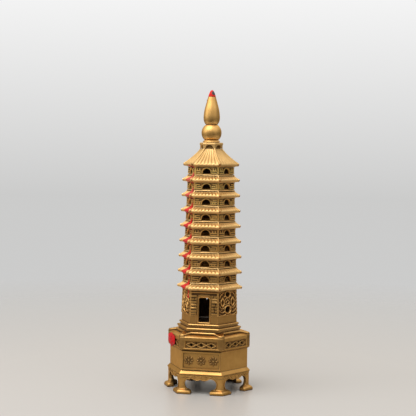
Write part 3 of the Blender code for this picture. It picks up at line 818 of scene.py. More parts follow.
def cornice_rows(edge, radius):
    """Underside of an eave: (radius, level, ridge share, corner reach) rows from wall to slope."""
    wall = wall_radius(edge - CORNICE_DROP)
    lip = radius - TIP_REACH
    return [(wall + 0.3 * MM, edge - 1.5 * MM, 0.0, 0.0),
            (wall + 1.05 * MM, edge - 1.38 * MM, 0.0, 0.0),
            (wall + 1.3 * MM, edge - 1.0 * MM, 0.0, 0.0),
            (radius - 2.0 * MM, edge - 0.62 * MM, 0.0, 0.4),
            (lip - 0.35 * MM, edge - 0.36 * MM, 0.0, 0.8),
            (lip, edge - 0.1 * MM, 0.0, 1.0),
            (lip + 0.02 * MM, edge + 0.35 * MM, 0.05, 1.0),
            (lip - 0.12 * MM, edge + 0.70 * MM, 0.2, 1.0)]


def slope_rows(start, end, steps, power, ridge_end=0.2):
    """A concave slope from the eave's edge up to the wall."""
    rows = []
    for step in range(steps + 1):
        share = step / steps
        radius = end[0] + (start[0] - end[0]) * (1.0 - share) ** power
        level = start[1] + (end[1] - start[1]) * share
        ridge = (1.0 - (1.0 - ridge_end) * share ** 2) * min(1.0, 0.45 + 3.0 * share)
        rows.append((radius, level, ridge, max(0.0, 1.0 - 2.2 * share) * 0.8))
    return rows


# %% Eight eaves
SPIGOT = 0.42 * MM
SPIGOT_IN = SHELL + 0.3 * MM


def eave_slope(storey):
    """Rows of the tiled slope over a storey."""
    edge, radius = eave_size(storey)
    lip = radius - TIP_REACH
    if storey == STOREYS:
        roof_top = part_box("roof")[1].z
        return slope_rows((lip - 0.3 * MM, edge + 0.95 * MM), (9.2 * MM, roof_top), 16, 1.3, 0.5)
    above = wall_radius(edge + 4.0 * MM)
    return slope_rows((lip - 0.3 * MM, edge + 0.9 * MM), (above + 0.4 * MM, edge + 4.0 * MM), 8, 1.5)


def make_neck(storey, above, edge):
    """A dark neck in the groove between the tiles and the rail: painted shade under the rail."""
    body = bmesh.new()
    skin(body, [hexagon(radius, edge + level) for radius, level in (
        (above - 1.2 * MM, 3.95 * MM), (above - 0.75 * MM, 3.95 * MM), (above - 0.75 * MM, 4.85 * MM),
        (above - 1.2 * MM, 4.85 * MM))], closed=True)
    add_piece("eave_%d_neck" % storey, body, painted_shade_metal)


def make_eave(storey):
    """One eave with its tiles, groove and rail; it replaces the plain packed one."""
    edge, radius = eave_size(storey)
    above = wall_radius(edge + 4.0 * MM)
    rail = wall_radius(edge + RAIL_TOP)
    wall = wall_radius(edge - CORNICE_DROP)
    rows = cornice_rows(edge, radius) + eave_slope(storey)
    rows += [(radius, edge + level, 0.0, 0.0) for radius, level in (
        (above - 0.9 * MM, 4.05 * MM), (above - 0.9 * MM, 4.75 * MM), (rail + 0.6 * MM, 4.8 * MM),
        (rail + 0.95 * MM, 4.92 * MM), (rail + 0.9 * MM, 5.12 * MM), (rail + 0.35 * MM, 5.75 * MM),
        (rail + 0.1 * MM, RAIL_TOP), (rail - 0.5 * MM, RAIL_TOP), (rail - 0.5 * MM, RAIL_TOP + SPIGOT),
        (rail - SPIGOT_IN, RAIL_TOP + SPIGOT),
        (wall - SPIGOT_IN, -CORNICE_DROP - SPIGOT), (wall - 0.6 * MM, -CORNICE_DROP - SPIGOT),
        (wall - 0.6 * MM, -CORNICE_DROP))]
    stations = tile_stations(EAVE_TILES)
    body = bmesh.new()
    skin(body, [hexagon(radius, level, stations, EAVE_RIDGE * ridge, reach)
                for radius, level, ridge, reach in rows], closed=True)
    add_piece("eave_%d_tiles" % storey, body, tiled, ["eave_%d" % storey])
    make_neck(storey, above, edge)


for storey in range(1, STOREYS):
    make_eave(storey)
print("triangles in one eave:", piece_triangles["eave_1_tiles"])

# %% The top roof
ROOF_TILES = 7
ROOF_RIDGE = 0.70 * MM


def make_roof():
    """The hollow top roof, with the same cornice and a longer slope."""
    edge, radius = eave_size(STOREYS)
    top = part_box("roof")[1].z
    inside = wall_radius(edge - CORNICE_DROP) - SHELL
    rows = [(4.0 * MM, top - 2.0 * MM, 0.0, 0.0), (8.0 * MM, edge + 8.5 * MM, 0.0, 0.0),
            (13.0 * MM, edge + 3.5 * MM, 0.0, 0.0), (inside, edge - 0.4 * MM, 0.0, 0.0),
            (inside - 0.3 * MM, edge - CORNICE_DROP - SPIGOT, 0.0, 0.0),
            (inside + 1.6 * MM, edge - CORNICE_DROP - SPIGOT, 0.0, 0.0),
            (inside + 1.6 * MM, edge - CORNICE_DROP, 0.0, 0.0)]
    rows += cornice_rows(edge, radius) + eave_slope(STOREYS)
    stations = tile_stations(ROOF_TILES)
    body = bmesh.new()
    skin(body, [hexagon(radius, level, stations, ROOF_RIDGE * ridge * radius / (24.0 * MM), reach)
                for radius, level, ridge, reach in rows])
    add_piece("roof_tiles", body, roof_painted_light, ["roof"])


make_roof()
print("triangles in the roof:", piece_triangles["roof_tiles"])

# %% Corner ridges, knobs and dark ends
KNOB_RADIUS = 0.95 * MM


def ball(body, centre, radius, squash=1.0, segments=12):
    """A small round knob."""
    profile = [(radius * math.cos(turn), centre.z + radius * squash * math.sin(turn))
               for turn in [math.radians(angle) for angle in range(-85, 90, 17)]]
    turned(body, profile, segments, lambda level: Vector((centre.x, centre.y, level)))


def make_ridges(storey, width, height):
    """Six corner ridges with a knob at the top, and their blunt ends in a darker tone."""
    edge, radius = eave_size(storey)
    rows = eave_slope(storey)
    ridges = bmesh.new()
    knobs = bmesh.new()
    ends = bmesh.new()
    for corner in range(SIDES):
        outward = corner_direction(corner)
        lean = (outward * 0.55 + UP).normalized()
        path = []
        for row_radius, level, _, reach in reversed(rows):
            point = outward * (row_radius + TIP_REACH * reach) + UP * (level + TIP_LIFT * reach)
            path.append((point, lean))
        tip = outward * radius + UP * (edge + 0.1 * MM)
        sizes = [0.9] * len(path)
        sizes[-2:] = [1.0, 1.08]
        path.append((tip - outward * 0.5 * MM, lean))
        sweep(ridges, path, bead(width, height, 8, 0.5 * MM), sizes=sizes + [1.0])
        if storey < STOREYS:
            knob_place = path[1][0] + UP * 0.35 * MM - outward * 0.45 * MM
            ball(knobs, knob_place, KNOB_RADIUS)
        end_path = [(tip - outward * 0.9 * MM, lean), (tip - outward * 0.3 * MM, lean), (tip, lean)]
        sweep(ends, end_path, bead(width * 1.05, height * 1.05, 8, 0.65 * MM), sizes=[1.0, 1.05, 0.7])
    add_piece("ridges_%d" % storey, ridges, roof_painted_light if storey == STOREYS else tiled)
    if storey < STOREYS:
        add_piece("ridge_knobs_%d" % storey, knobs, gilt)
    add_piece("ridge_ends_%d" % storey, ends, dark_end_metal)


for storey in range(1, STOREYS):
    make_ridges(storey, 1.6 * MM, 1.0 * MM)
make_ridges(STOREYS, 1.8 * MM, 1.2 * MM)
print("corner ridges on", STOREYS, "roofs")

# %% [markdown]
# ## Upper storeys
# Every storey from the second up has one arched window in each side, a slim round column at each
# corner, and low relief between them. The relief is a fret of narrow bars. Four bar patterns are
# written as strokes in a unit square, from the window (0) to the column (1), and take turns from
# storey to storey, mirrored about the window.

# %% Columns
COLUMN_RADIUS = 1.0 * MM


def wall_corner(corner, inset):
    """A function that gives a corner's place at a level, a little inside the wall's corner."""
    return lambda level: corner_direction(corner) * (wall_radius(level) - inset) + UP * level


def column_profile(low, high, radius):
    """A plain shaft with a small base and a small capital."""
    return [(radius * 1.25, low), (radius * 1.25, low + 0.4 * MM), (radius, low + 0.65 * MM),
            (radius * 0.95, (low + high) / 2.0), (radius, high - 0.75 * MM),
            (radius * 1.3, high - 0.5 * MM), (radius * 1.3, high)]


def make_columns(storey):
    """Six corner columns of an upper storey."""
    low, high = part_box("storey_%d_wall" % storey)
    body = bmesh.new()
    for corner in range(SIDES):
        turned(body, column_profile(low.z, high.z + 0.2 * MM, COLUMN_RADIUS), 14, wall_corner(corner, 0.35 * MM))
    add_piece("storey_%d_columns" % storey, body, trims_painted_light[storey])


for storey in range(2, STOREYS + 1):
    make_columns(storey)
print("columns on", STOREYS - 1, "storeys")

# %% Window arches
WINDOW_WIDTH = 7.8 * MM
WINDOW_HEIGHT = 4.95 * MM
WINDOW_SILL = 0.1 * MM
ARCH_WIDTH = 1.2 * MM
ARCH_HEIGHT = 1.15 * MM
NARROWING = 0.07 * MM


def arch_path(low, narrower):
    """Up the left jamb, over the round head and down the right jamb."""
    radius = WINDOW_WIDTH / 2.0 + ARCH_WIDTH / 2.0 - 0.05 * MM - narrower
    spring = low + WINDOW_SILL + WINDOW_HEIGHT - WINDOW_WIDTH / 2.0
    path = [(-radius, low)]
    for step in range(19):
        turn = math.pi * step / 18
        path.append((-radius * math.cos(turn), spring + radius * math.sin(turn)))
    return path + [(radius, low)]


def arch_section():
    """A raised moulding that ends at the edge of the opening."""
    half = ARCH_WIDTH / 2.0
    return [(-half, -SINK), (-half, ARCH_HEIGHT * 0.5), (-half * 0.5, ARCH_HEIGHT * 0.95),
            (half * 0.3, ARCH_HEIGHT), (half * 0.8, ARCH_HEIGHT * 0.7), (half, 0.0), (half, -SINK)]


def lining_section():
    """The dark skin of the opening, behind the moulding: painted shade inside the window."""
    half = ARCH_WIDTH / 2.0
    return [(half * 0.4, -1.9 * MM), (half * 0.4, -SINK), (half, -SINK), (half, -1.9 * MM)]


def make_arches(storey):
    """A raised arch around each window and its lining, narrower toward the top."""
    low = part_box("storey_%d_wall" % storey)[0].z
    path = arch_path(low, NARROWING * (storey - 2))
    arches = bmesh.new()
    linings = bmesh.new()
    for side in range(SIDES):
        sweep(arches, on_side(side, path), arch_section())
        sweep(linings, on_side(side, path), lining_section())
    add_piece("storey_%d_arches" % storey, arches, trims_painted_light[storey])
    add_piece("storey_%d_linings" % storey, linings, painted_shade_metal)


for storey in range(2, STOREYS + 1):
    make_arches(storey)
print("arches on", STOREYS - 1, "storeys")

# %% Fretwork beside the windows
BAR_WIDTH = 1.05 * MM
BAR_HEIGHT = 1.0 * MM
TRAYS = (((0, 0.10), (1, 0.10)), ((0.2, 0.10), (0.2, 0.42), (1, 0.42)), ((0.1, 0.74), (1, 0.74)),
         ((0.92, 0.42), (0.92, 0.74)))
BALUSTERS = (((0, 0.10), (1, 0.10)), ((0, 0.46), (1, 0.46)), ((0.28, 0.10), (0.28, 0.46)),
             ((0.68, 0.10), (0.68, 0.46)), ((0.3, 0.78), (1, 0.78)))
LONG_BARS = (((0, 0.10), (1, 0.10)), ((0, 0.42), (0.78, 0.42)), ((0.22, 0.76), (1, 0.76)),
             ((0.95, 0.10), (0.95, 0.76)))
SLOTS = (((0, 0.10), (1, 0.10)), ((0, 0.44), (1, 0.44)), ((0.34, 0.44), (0.34, 0.88)),
         ((0.78, 0.44), (0.78, 0.88)))
PATTERNS = (TRAYS, BALUSTERS, LONG_BARS, SLOTS)


def make_fretwork(storey):
    """Bars in low relief on both sides of every window."""
    low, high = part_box("storey_%d_wall" % storey)
    start = WINDOW_WIDTH / 2.0 + ARCH_WIDTH * 0.5
    body = bmesh.new()
    for side in range(SIDES):
        pattern = PATTERNS[(storey + side // 2) % len(PATTERNS)]
        for mirror in (-1.0, 1.0):
            end = wall_radius(low.z) / 2.0 - COLUMN_RADIUS
            for stroke in pattern:
                path = [(mirror * (start + (end - start) * u), low.z + (high.z - low.z) * v) for u, v in stroke]
                sweep(body, on_side(side, path), strip(BAR_WIDTH, BAR_HEIGHT, 0.14 * MM))
    add_piece("storey_%d_fretwork" % storey, body, trims_painted_light[storey])


for storey in range(2, STOREYS + 1):
    make_fretwork(storey)
print("fretwork triangles on storey 2:", piece_triangles["storey_2_fretwork"])

# %% [markdown]
# ## Ground storey
# The front has a doorway between brick courses, under a heavy lintel. The other five sides are
# pierced, and round every hole runs a raised rim, with curved bands and small bosses between
# them, as in a lace of vines. Below all six runs a plain dado with a moulding on top.

# %% Dado, corner columns and top rail
WALL_FOOT = first_low.z
WALL_TOP = first_high.z
DADO_TOP = WALL_FOOT + 6.8 * MM
LINTEL_LEVEL = WALL_TOP - 0.8 * MM


def beaded_profile(low, high, radius, pitch):
    """A column that swells and narrows like a string of beads."""
    count = round((high - low) / pitch)
    profile = []
    for step in range(count * 6 + 1):
        level = low + (high - low) * step / (count * 6)
        swell = abs(math.sin(math.pi * step / 6.0)) ** 0.7
        profile.append((radius * (0.78 + 0.30 * swell), level))
    return profile


def make_ground_trim():
    """Dado moulding, corner columns, and a rail under the cornice of the five pierced sides."""
    body = bmesh.new()
    for corner in range(SIDES):
        profile = beaded_profile(DADO_TOP, WALL_TOP + 0.2 * MM, 1.0 * MM, 2.9 * MM)
        turned(body, profile, 14, wall_corner(corner, 0.4 * MM))
    for side in range(SIDES):
        half = wall_radius(DADO_TOP) / 2.0 + 0.1 * MM
        pieces = [(-half, half)] if side != FRONT else [(-half, -6.2 * MM), (6.2 * MM, half)]
        for start, end in pieces:
            path = [(start, DADO_TOP), (end, DADO_TOP)]
            sweep(body, on_side(side, path), strip(1.0 * MM, 0.55 * MM, 0.25 * MM))
        if side != FRONT:
            path = [(-half, WALL_TOP - 0.5 * MM), (half, WALL_TOP - 0.5 * MM)]
            sweep(body, on_side(side, path), bead(1.0 * MM, 0.5 * MM))
    add_piece("ground_trim", body, gilt)


make_ground_trim()
print("ground trim triangles:", piece_triangles["ground_trim"])

# %% Lintel
LINTEL_HALF = 11.5 * MM


def make_lintel():
    """One bold round bar across the front, close under the cornice."""
    body = bmesh.new()
    ends = [(-LINTEL_HALF, 0.6), (-LINTEL_HALF + 0.6 * MM, 1.0)]
    stations = ends + [(-across, size) for across, size in reversed(ends)]
    sizes = [size for across, size in stations]
    path = [(across, LINTEL_LEVEL) for across, size in stations]
    sweep(body, on_side(FRONT, path), bead(1.3 * MM, 1.5 * MM, 8), sizes=sizes)
    add_piece("lintel", body, gilt)


make_lintel()
print("lintel at level", round(LINTEL_LEVEL / MM, 1))

# %% Brick courses
DOOR_HALF = 4.6 * MM
BRICK_ROWS = 7
BRICK_TOP = WALL_TOP - 2.6 * MM
JOINT = 0.6 * MM


def make_bricks():
    """Uneven rounded bricks beside the doorway, single long ones mixed with pairs."""
    uneven = random.Random(11)
    body = bmesh.new()
    low = DADO_TOP + 0.7 * MM
    pitch = (BRICK_TOP - low) / BRICK_ROWS
    for mirror in (-1.0, 1.0):
        for row in range(BRICK_ROWS):
            level = low + pitch * row
            start = DOOR_HALF + 1.7 * MM
            end = wall_radius(level) / 2.0 - 0.1 * MM
            split = start + (end - start) * uneven.uniform(0.35, 0.7)
            spans = [(start, end)]
            if uneven.random() < 0.45:
                spans = [(start, split - JOINT / 4.0), (split + JOINT / 4.0, end)]
            for first, second in spans:
                slip = uneven.uniform(-0.2, 0.2) * MM
                height = uneven.uniform(1.0, 1.35) * MM
                outline = box_outline(first, second, level + slip, level + pitch - JOINT + slip, 0.25 * MM)
                outline = [(mirror * across, place) for across, place in outline]
                dome(body, FRONT, outline, height, flat=0.8)
    add_piece("door_bricks", body, gilt)


make_bricks()
print("brick courses:", BRICK_ROWS)

# %% Door frame
DOOR_TOP = 22.2 * MM
DOOR_SILL = 1.4 * MM
DOOR_CORNER = 2.6 * MM
DOOR_MIDDLE = 0.8 * MM


def make_door_frame():
    """A round-cornered frame with a sill, which lines the doorway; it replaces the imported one."""
    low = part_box("door_frame")[0].z
    half = DOOR_HALF + DOOR_MIDDLE
    top = low + DOOR_TOP + DOOR_MIDDLE
    foot = low + DOOR_SILL - DOOR_MIDDLE
    path = [(-half, foot), (-half, foot + 8.0 * MM)]
    for mirror in (-1.0, 1.0):
        turns = range(0, 91, 15) if mirror < 0 else range(90, -1, -15)
        for angle in turns:
            turn = math.radians(angle)
            path.append((mirror * (half - DOOR_CORNER * (1.0 - math.cos(turn))),
                         top - DOOR_CORNER * (1.0 - math.sin(turn))))
    path += [(half, foot + 8.0 * MM), (half, foot)]
    flange = [(-0.8, -1.9), (-0.8, -0.3), (-1.95, -0.3), (-1.95, 0.08), (-0.72, 0.1)]
    moulding = [(-0.62, 0.6), (-0.25, 0.9), (0.2, 0.8), (0.55, 0.5), (0.75, 0.25), (0.8, 0.0), (0.8, -1.9)]
    section = flange + moulding
    section = [(offset * MM, height * MM) for offset, height in section]
    body = bmesh.new()
    sweep(body, on_side(FRONT, path), section, closed=True)
    add_piece("door_surround", body, gilt, ["door_frame"])


make_door_frame()
print("door frame triangles:", piece_triangles["door_surround"])

# %% Pierced carving
TOP_HOLE = (5.5, 4.6, 84.1)
LOW_HOLE = (6.4, 5.3, 70.8)
LENS = (3.9, 7.2, 6.5, 77.3)
EYE = (3.6, 2.8, 77.2)
VINES = (((3.6, 85.6), (6.2, 85.2), (8.6, 83.6), (10.0, 81.0)),
         ((3.4, 82.6), (4.6, 81.9), (5.4, 81.8)),
         ((1.4, 80.9), (2.5, 79.9), (3.4, 78.8)),
         ((1.6, 74.9), (2.8, 75.4), (3.5, 76.0)),
         ((4.5, 72.6), (6.6, 71.9), (8.6, 72.6), (10.4, 74.6)),
         ((4.3, 69.4), (6.4, 68.6), (8.8, 69.2), (10.8, 71.0)),
         ((2.6, 67.0), (5.0, 66.2), (7.8, 66.2), (10.6, 67.4)))
BOSSES = ((4.3, 73.2, 1.5), (0.0, 66.3, 1.1), (2.0, 66.2, 1.0), (9.6, 85.4, 1.4), (10.2, 77.4, 1.3),
          (7.4, 84.0, 1.0), (7.9, 70.4, 1.1), (0.0, 80.3, 1.2), (0.0, 74.6, 0.9))


def lens_path(width, height, across, level, steps=8):
    """A pointed oval, run clockwise."""
    path = []
    for mirror in (-1.0, 1.0):
        for step in range(steps):
            share = step / steps
            bulge = width / 2.0 * math.sin(math.pi * share)
            path.append((across + mirror * bulge, level - mirror * height * (share - 0.5) * -1.0))
    return path


def make_carving():
    """Raised rims, vines and bosses on the five pierced sides."""
    body = bmesh.new()
    for side in range(SIDES):
        if side == FRONT:
            continue
        for (width, height, level), rim in ((TOP_HOLE, 1.3), (LOW_HOLE, 1.5)):
            path = oval((width + rim) * MM, (height + rim) * MM, 0.0, level * MM, 24)
            sweep(body, on_side(side, path), bead(rim * MM, 1.35 * MM), closed=True)
        width, height, level = EYE
        diamond = [(0.0, level + height / 2.0 + 0.7), (width / 2.0 + 0.7, level),
                   (0.0, level - height / 2.0 - 0.7), (-width / 2.0 - 0.7, level)]
        diamond = [(across * MM, place * MM) for across, place in diamond]
        sweep(body, on_side(side, diamond), bead(0.9 * MM, 1.0 * MM), closed=True)
        for mirror in (-1.0, 1.0):
            path = lens_path((LENS[0] + 0.5) * MM, (LENS[1] + 0.4) * MM, mirror * LENS[2] * MM, LENS[3] * MM)
            sweep(body, on_side(side, path), bead(1.3 * MM, 1.2 * MM, sink=0.9 * MM), closed=True)
            for vine in VINES:
                curve = smooth_path([(mirror * across * MM, level * MM) for across, level in vine], 4)
                sizes = [1.0 - 0.35 * index / (len(curve) - 1) for index in range(len(curve))]
                sweep(body, on_side(side, curve), bead(1.1 * MM, 1.1 * MM), sizes=sizes)
            for across, level, size in BOSSES:
                if across or mirror > 0:
                    outline = oval(size * MM, size * MM, mirror * across * MM, level * MM, 10)
                    dome(body, side, outline, 1.15 * MM)
    add_piece("pierced_carving", body, gilt)


make_carving()
print("carving triangles:", piece_triangles["pierced_carving"])

# %% [markdown]
# ## Treads
# Three hexagonal treads lead up to the door. Their nosings are the brightest lines on the real
# piece, because the round edge always finds the lamp, so they are turned like a bead here. The
# lowest tread carries a block at each corner that reaches out over the band.

# %% Steps
CLAW_REACH = 5.6 * MM
CLAW_DROP = 1.2 * MM
CLAW_PLAN = ((0.0, 1.0), (0.045, 1.0), (0.085, 0.93), (0.105, 0.72), (0.145, 0.16), (0.17, 0.0), (0.5, 0.0))


def claw_ring(radius, level, reach, drop):
    """A hexagonal ring whose corners carry blocks."""
    stations = list(CLAW_PLAN) + [(1.0 - share, part) for share, part in reversed(CLAW_PLAN[1:-1])]
    points = []
    for side in range(SIDES):
        start = corner_direction(side) * radius
        end = corner_direction(side + 1) * radius
        for share, part in stations:
            outward = corner_direction(side if share < 0.5 else side + 1)
            point = start.lerp(end, share) + outward * (reach * part)
            point.z = level - drop * part
            points.append(point)
    return points


def make_step(number):
    """One tread with a round nosing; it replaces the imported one."""
    name = "step_%d" % number
    low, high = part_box(name)
    reach = CLAW_REACH if number == 3 else 0.0
    drop = CLAW_DROP if number == 3 else 0.0
    radius = high.x - reach
    riser = radius - 0.95 * MM
    rows = [(riser, 0.0, 0.0, 1.0), (riser, 1.55, 0.8, 1.0), (radius - 0.3 * MM, 1.5, 1.0, 1.0),
            (radius - 0.03 * MM, 1.35, 1.0, 1.0), (radius, 0.95, 1.0, 1.0), (radius - 0.1 * MM, 0.6, 1.0, 0.97),
            (radius - 0.4 * MM, 0.2, 1.0, 0.84), (radius - 0.65 * MM, 0.03, 1.0, 0.77),
            (radius - 1.0 * MM, 0.0, 1.0, 0.7)]
    loops = []
    for ring_radius, below, droop, stretch in rows:
        level = high.z - below * MM if below or droop else low.z
        loops.append(claw_ring(ring_radius, level, reach * stretch, drop * droop))
    body = bmesh.new()
    if number == 1:
        skin(body, loops)
    else:
        hole = radius - 5.5 * MM
        loops += [claw_ring(hole, high.z, 0.0, 0.0), claw_ring(hole, low.z, 0.0, 0.0)]
        skin(body, loops, closed=True)
    add_piece("tread_%d" % number, body, treads, [name])


for number in (1, 2, 3):
    make_step(number)
print("treads:", 3)

# %% [markdown]
# ## Band
# The band is a hexagonal box with a pierced panel in each side. The panel lies deep in a
# bevelled border, a lattice of crossing bars stands on it, and each corner is a plain post. Above
# the panel a sloping ledge runs from post to post.

# %% Ledge, posts and borders
band_low, band_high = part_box("band_frame")
deck_low, deck_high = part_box("band_deck")
BAND_RADIUS = band_high.x
POST_WIDTH = 3.4 * MM
PANEL_HALF = 13.7 * MM
PANEL_LOW = 39.0 * MM
PANEL_HIGH = 45.1 * MM


def band_at(level):
    """The band's corner radius is the same at every level."""
    return BAND_RADIUS


def make_ledge():
    """The deck with its sloping edge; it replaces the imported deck."""
    hole = 25.1 * MM
    rows = [(BAND_RADIUS - 0.1 * MM, deck_low.z - 0.3 * MM), (BAND_RADIUS + 0.3 * MM, deck_low.z - 0.15 * MM),
            (BAND_RADIUS + 0.3 * MM, deck_low.z + 0.05 * MM), (BAND_RADIUS - 0.75 * MM, deck_low.z + 1.05 * MM),
            (BAND_RADIUS - 2.3 * MM, deck_high.z - 0.1 * MM), (BAND_RADIUS - 2.7 * MM, deck_high.z),
            (hole, deck_high.z), (hole, deck_low.z)]
    body = bmesh.new()
    skin(body, [hexagon(radius, level) for radius, level in rows], closed=True)
    add_piece("sloping_ledge", body, bronze, ["band_deck"])


def make_posts():
    """Plain posts that wrap the band's corners."""
    body = bmesh.new()
    low = band_low.z + 0.6 * MM
    high = deck_high.z - 0.1 * MM
    for corner in range(SIDES):
        loops = []
        for level, grow in ((low, 0.0), (low + 0.2 * MM, 0.15 * MM), (high - 0.3 * MM, 0.15 * MM), (high, -0.1 * MM)):
            outer = corner_direction(corner) * (BAND_RADIUS + grow)
            inner = corner_direction(corner) * (BAND_RADIUS - 2.6 * MM)
            back = (corner_direction(corner - 1) - corner_direction(corner)).normalized()
            ahead = (corner_direction(corner + 1) - corner_direction(corner)).normalized()
            plan = [outer + back * POST_WIDTH, outer + back * 0.25 * MM, outer + ahead * 0.25 * MM,
                    outer + ahead * POST_WIDTH, inner + ahead * POST_WIDTH * 0.85, inner + back * POST_WIDTH * 0.85]
            loops.append([point + UP * level for point in plan])
        skin(body, loops)
    add_piece("band_posts", body, tarnish_and_shade)


def make_borders():
    """A bevelled border that leads down to each lattice panel, and a fine bead around it."""
    body = bmesh.new()
    inside = 0.5 * MM
    slope = [(-0.35 * MM, -0.4 * MM), (-0.35 * MM, 0.18 * MM), (0.0, 0.22 * MM), (0.75 * MM, -0.75 * MM),
             (0.75 * MM, -1.1 * MM), (0.0, -1.1 * MM)]
    for side in range(SIDES):
        path = box_outline(-PANEL_HALF - 0.1 * MM, PANEL_HALF + 0.1 * MM, PANEL_LOW - 0.1 * MM, PANEL_HIGH + 0.1 * MM)
        sweep(body, on_side(side, path, band_at), slope, closed=True)
        low = band_low.z + 1.0 * MM
        half = BAND_RADIUS / 2.0 - POST_WIDTH + inside
        sweep(body, on_side(side, [(-half, low), (half, low)], band_at), bead(0.8 * MM, 0.4 * MM))
    add_piece("panel_borders", body, bronze)


make_ledge()
make_posts()
make_borders()
print("band dressed at radius", round(BAND_RADIUS / MM, 1))

# %% Lattice bars
LATTICE_PITCH = 8.8 * MM
LATTICE_SWING = 2.3 * MM


def make_lattice():
    """Two zigzag bars that cross between the diamond holes of each panel."""
    body = bmesh.new()
    middle = (PANEL_LOW + PANEL_HIGH) / 2.0
    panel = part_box("lattice_panel_%d" % (FRONT + 1))
    depth = -panel[0].y / APOTHEM
    for side in range(SIDES):
        for swing in (-1.0, 1.0):
            path = []
            for step in range(7):
                across = LATTICE_PITCH / 2.0 * (step - 3)
                rise = (0.0, swing, 0.0, -swing)[step % 4] * LATTICE_SWING
                path.append((across, middle + rise))
            sweep(body, on_side(side, path, lambda level: depth), bead(0.7 * MM, 0.55 * MM))
    add_piece("lattice_bars", body, bronze)


make_lattice()
print("lattice triangles:", piece_triangles["lattice_bars"])

# %% [markdown]
# ## Base block
# The front of the block has a sunk panel with a plain raised border. It carries three petal
# rosettes, a common ornament. The petals are domes around a boss, the simplest way to a crisp
# flower at this size. The other five sides are plain.

# %% Front panel and rosettes
block_low, block_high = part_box("dado_block")
BLOCK_RADIUS = 34.5 * MM
PETALS = 8
ROSETTE_PLACES = (-10.6 * MM, 0.0, 10.6 * MM)


def block_at(level):
    """The base block's corner radius is the same at every level."""
    return BLOCK_RADIUS


def rosette(body, across, level, size):
    """Petals around a boss."""
    for petal in range(PETALS):
        angle = 2.0 * math.pi * petal / PETALS
        outline = []
        for step in range(12):
            turn = 2.0 * math.pi * step / 12
            along = size * (0.60 + 0.30 * math.cos(turn))
            sideways = size * 0.20 * math.sin(turn) * (1.0 + 0.35 * math.cos(turn))
            outline.append((across + along * math.cos(angle) - sideways * math.sin(angle),
                            level + along * math.sin(angle) + sideways * math.cos(angle)))
        dome(body, FRONT, outline, 1.0 * MM, block_at)
    dome(body, FRONT, oval(size * 0.5, size * 0.5, across, level, 12), 1.1 * MM, block_at)


def make_front_panel():
    """Border and rosettes of the front of the base block."""
    low = block_low.z + 1.3 * MM
    high = block_high.z - 1.9 * MM
    half = BLOCK_RADIUS / 2.0 - 0.9 * MM
    body = bmesh.new()
    path = box_outline(-half, half, low, high)
    sweep(body, on_side(FRONT, path, block_at), strip(1.5 * MM, 1.1 * MM, 0.3 * MM), closed=True)
    add_piece("front_border", body, bronze)
    body = bmesh.new()
    for across in ROSETTE_PLACES:
        rosette(body, across, (low + high) / 2.0, 4.7 * MM)
    add_piece("front_rosettes", body, tarnish_and_shade)


make_front_panel()
print("rosette triangles:", piece_triangles["front_rosettes"])

# %% [markdown]
# ## Stand
# Six legs with hollowed sides stand on turned-out pads. The edge of each opening carries a bead
# that runs up one leg, along the two lobes of the apron and down the next leg. Leaf lines fill the
# corners. The legs are lofted again with smooth sections, because the pads are soft rolls.

# %% Legs
STAND_RADIUS = 36.3 * MM
LEG_TOP = 13.7 * MM
LEG_ARM = 8.7 * MM
LEG_NECK = 4.3 * MM
ARC_LOW = 4.6 * MM
ARC_FOOT = 7.2 * MM
LEG_SHELL = 2.5 * MM
PAD_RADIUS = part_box("leg_1")[1].x
PAD_REACH = PAD_RADIUS - STAND_RADIUS


def leg_arm(share):
    """Length of a leg's arm along the side; share runs from the arc's foot to the apron."""
    hollow = min(math.sin(math.pi * (0.12 + 0.88 * share)) ** 0.7, 1.0)
    full = ARC_FOOT + (LEG_ARM - ARC_FOOT) * share
    return full - (full - LEG_NECK) * hollow


def leg_rows():
    """(level, corner radius, arm, shell) rows: a rolled pad, then the hollowed leg."""
    pad = [(0.0, PAD_RADIUS - 0.35 * MM, 11.3 * MM, 0.75), (0.3 * MM, PAD_RADIUS - 0.1 * MM, 11.55 * MM, 0.8),
           (0.9 * MM, PAD_RADIUS, 11.7 * MM, 0.8), (1.8 * MM, PAD_RADIUS - 0.05 * MM, 11.7 * MM, 0.8),
           (2.6 * MM, PAD_RADIUS - 0.5 * MM, 11.3 * MM, 0.7), (3.3 * MM, PAD_RADIUS - 1.4 * MM, 10.4 * MM, 0.45),
           (3.75 * MM, PAD_RADIUS - 2.6 * MM, 9.2 * MM, 0.2), (4.1 * MM, STAND_RADIUS + 0.25 * MM, 8.1 * MM, 0.0)]
    rows = [(level, radius, arm, LEG_SHELL + PAD_REACH * part) for level, radius, arm, part in pad]
    steps = 18
    for step in range(steps + 1):
        share = step / steps
        rows.append((ARC_LOW + (LEG_TOP - ARC_LOW) * share, STAND_RADIUS, leg_arm(share), LEG_SHELL))
    return rows


def make_leg(corner):
    """One leg around a corner of the stand, with a softened outer edge."""
    direction = corner_direction(corner)
    back = (corner_direction(corner - 1) - direction).normalized()
    ahead = (corner_direction(corner + 1) - direction).normalized()
    loops = []
    for level, radius, arm, shell in leg_rows():
        outer = direction * radius
        inner = direction * (radius - shell / APOTHEM)
        back_in = side_normal(corner - 1) * -shell
        ahead_in = side_normal(corner) * -shell
        soft = 0.5 * MM
        plan = [outer + back * (arm - soft * 0.3) + back_in * 0.12, outer + back * (arm - soft),
                outer + back * soft, outer - direction * 0.12 * MM, outer + ahead * soft,
                outer + ahead * (arm - soft), outer + ahead * (arm - soft * 0.3) + ahead_in * 0.12,
                outer + ahead * (arm - soft * 0.3) + ahead_in, inner,
                outer + back * (arm - soft * 0.3) + back_in]
        loops.append([point + UP * level for point in plan])
    body = bmesh.new()
    skin(body, loops)
    add_piece("stand_leg_%d" % (corner + 1), body, bronze, ["leg_%d" % (corner + 1)], 50.0)


for corner in range(SIDES):
    make_leg(corner)
print("legs:", SIDES)

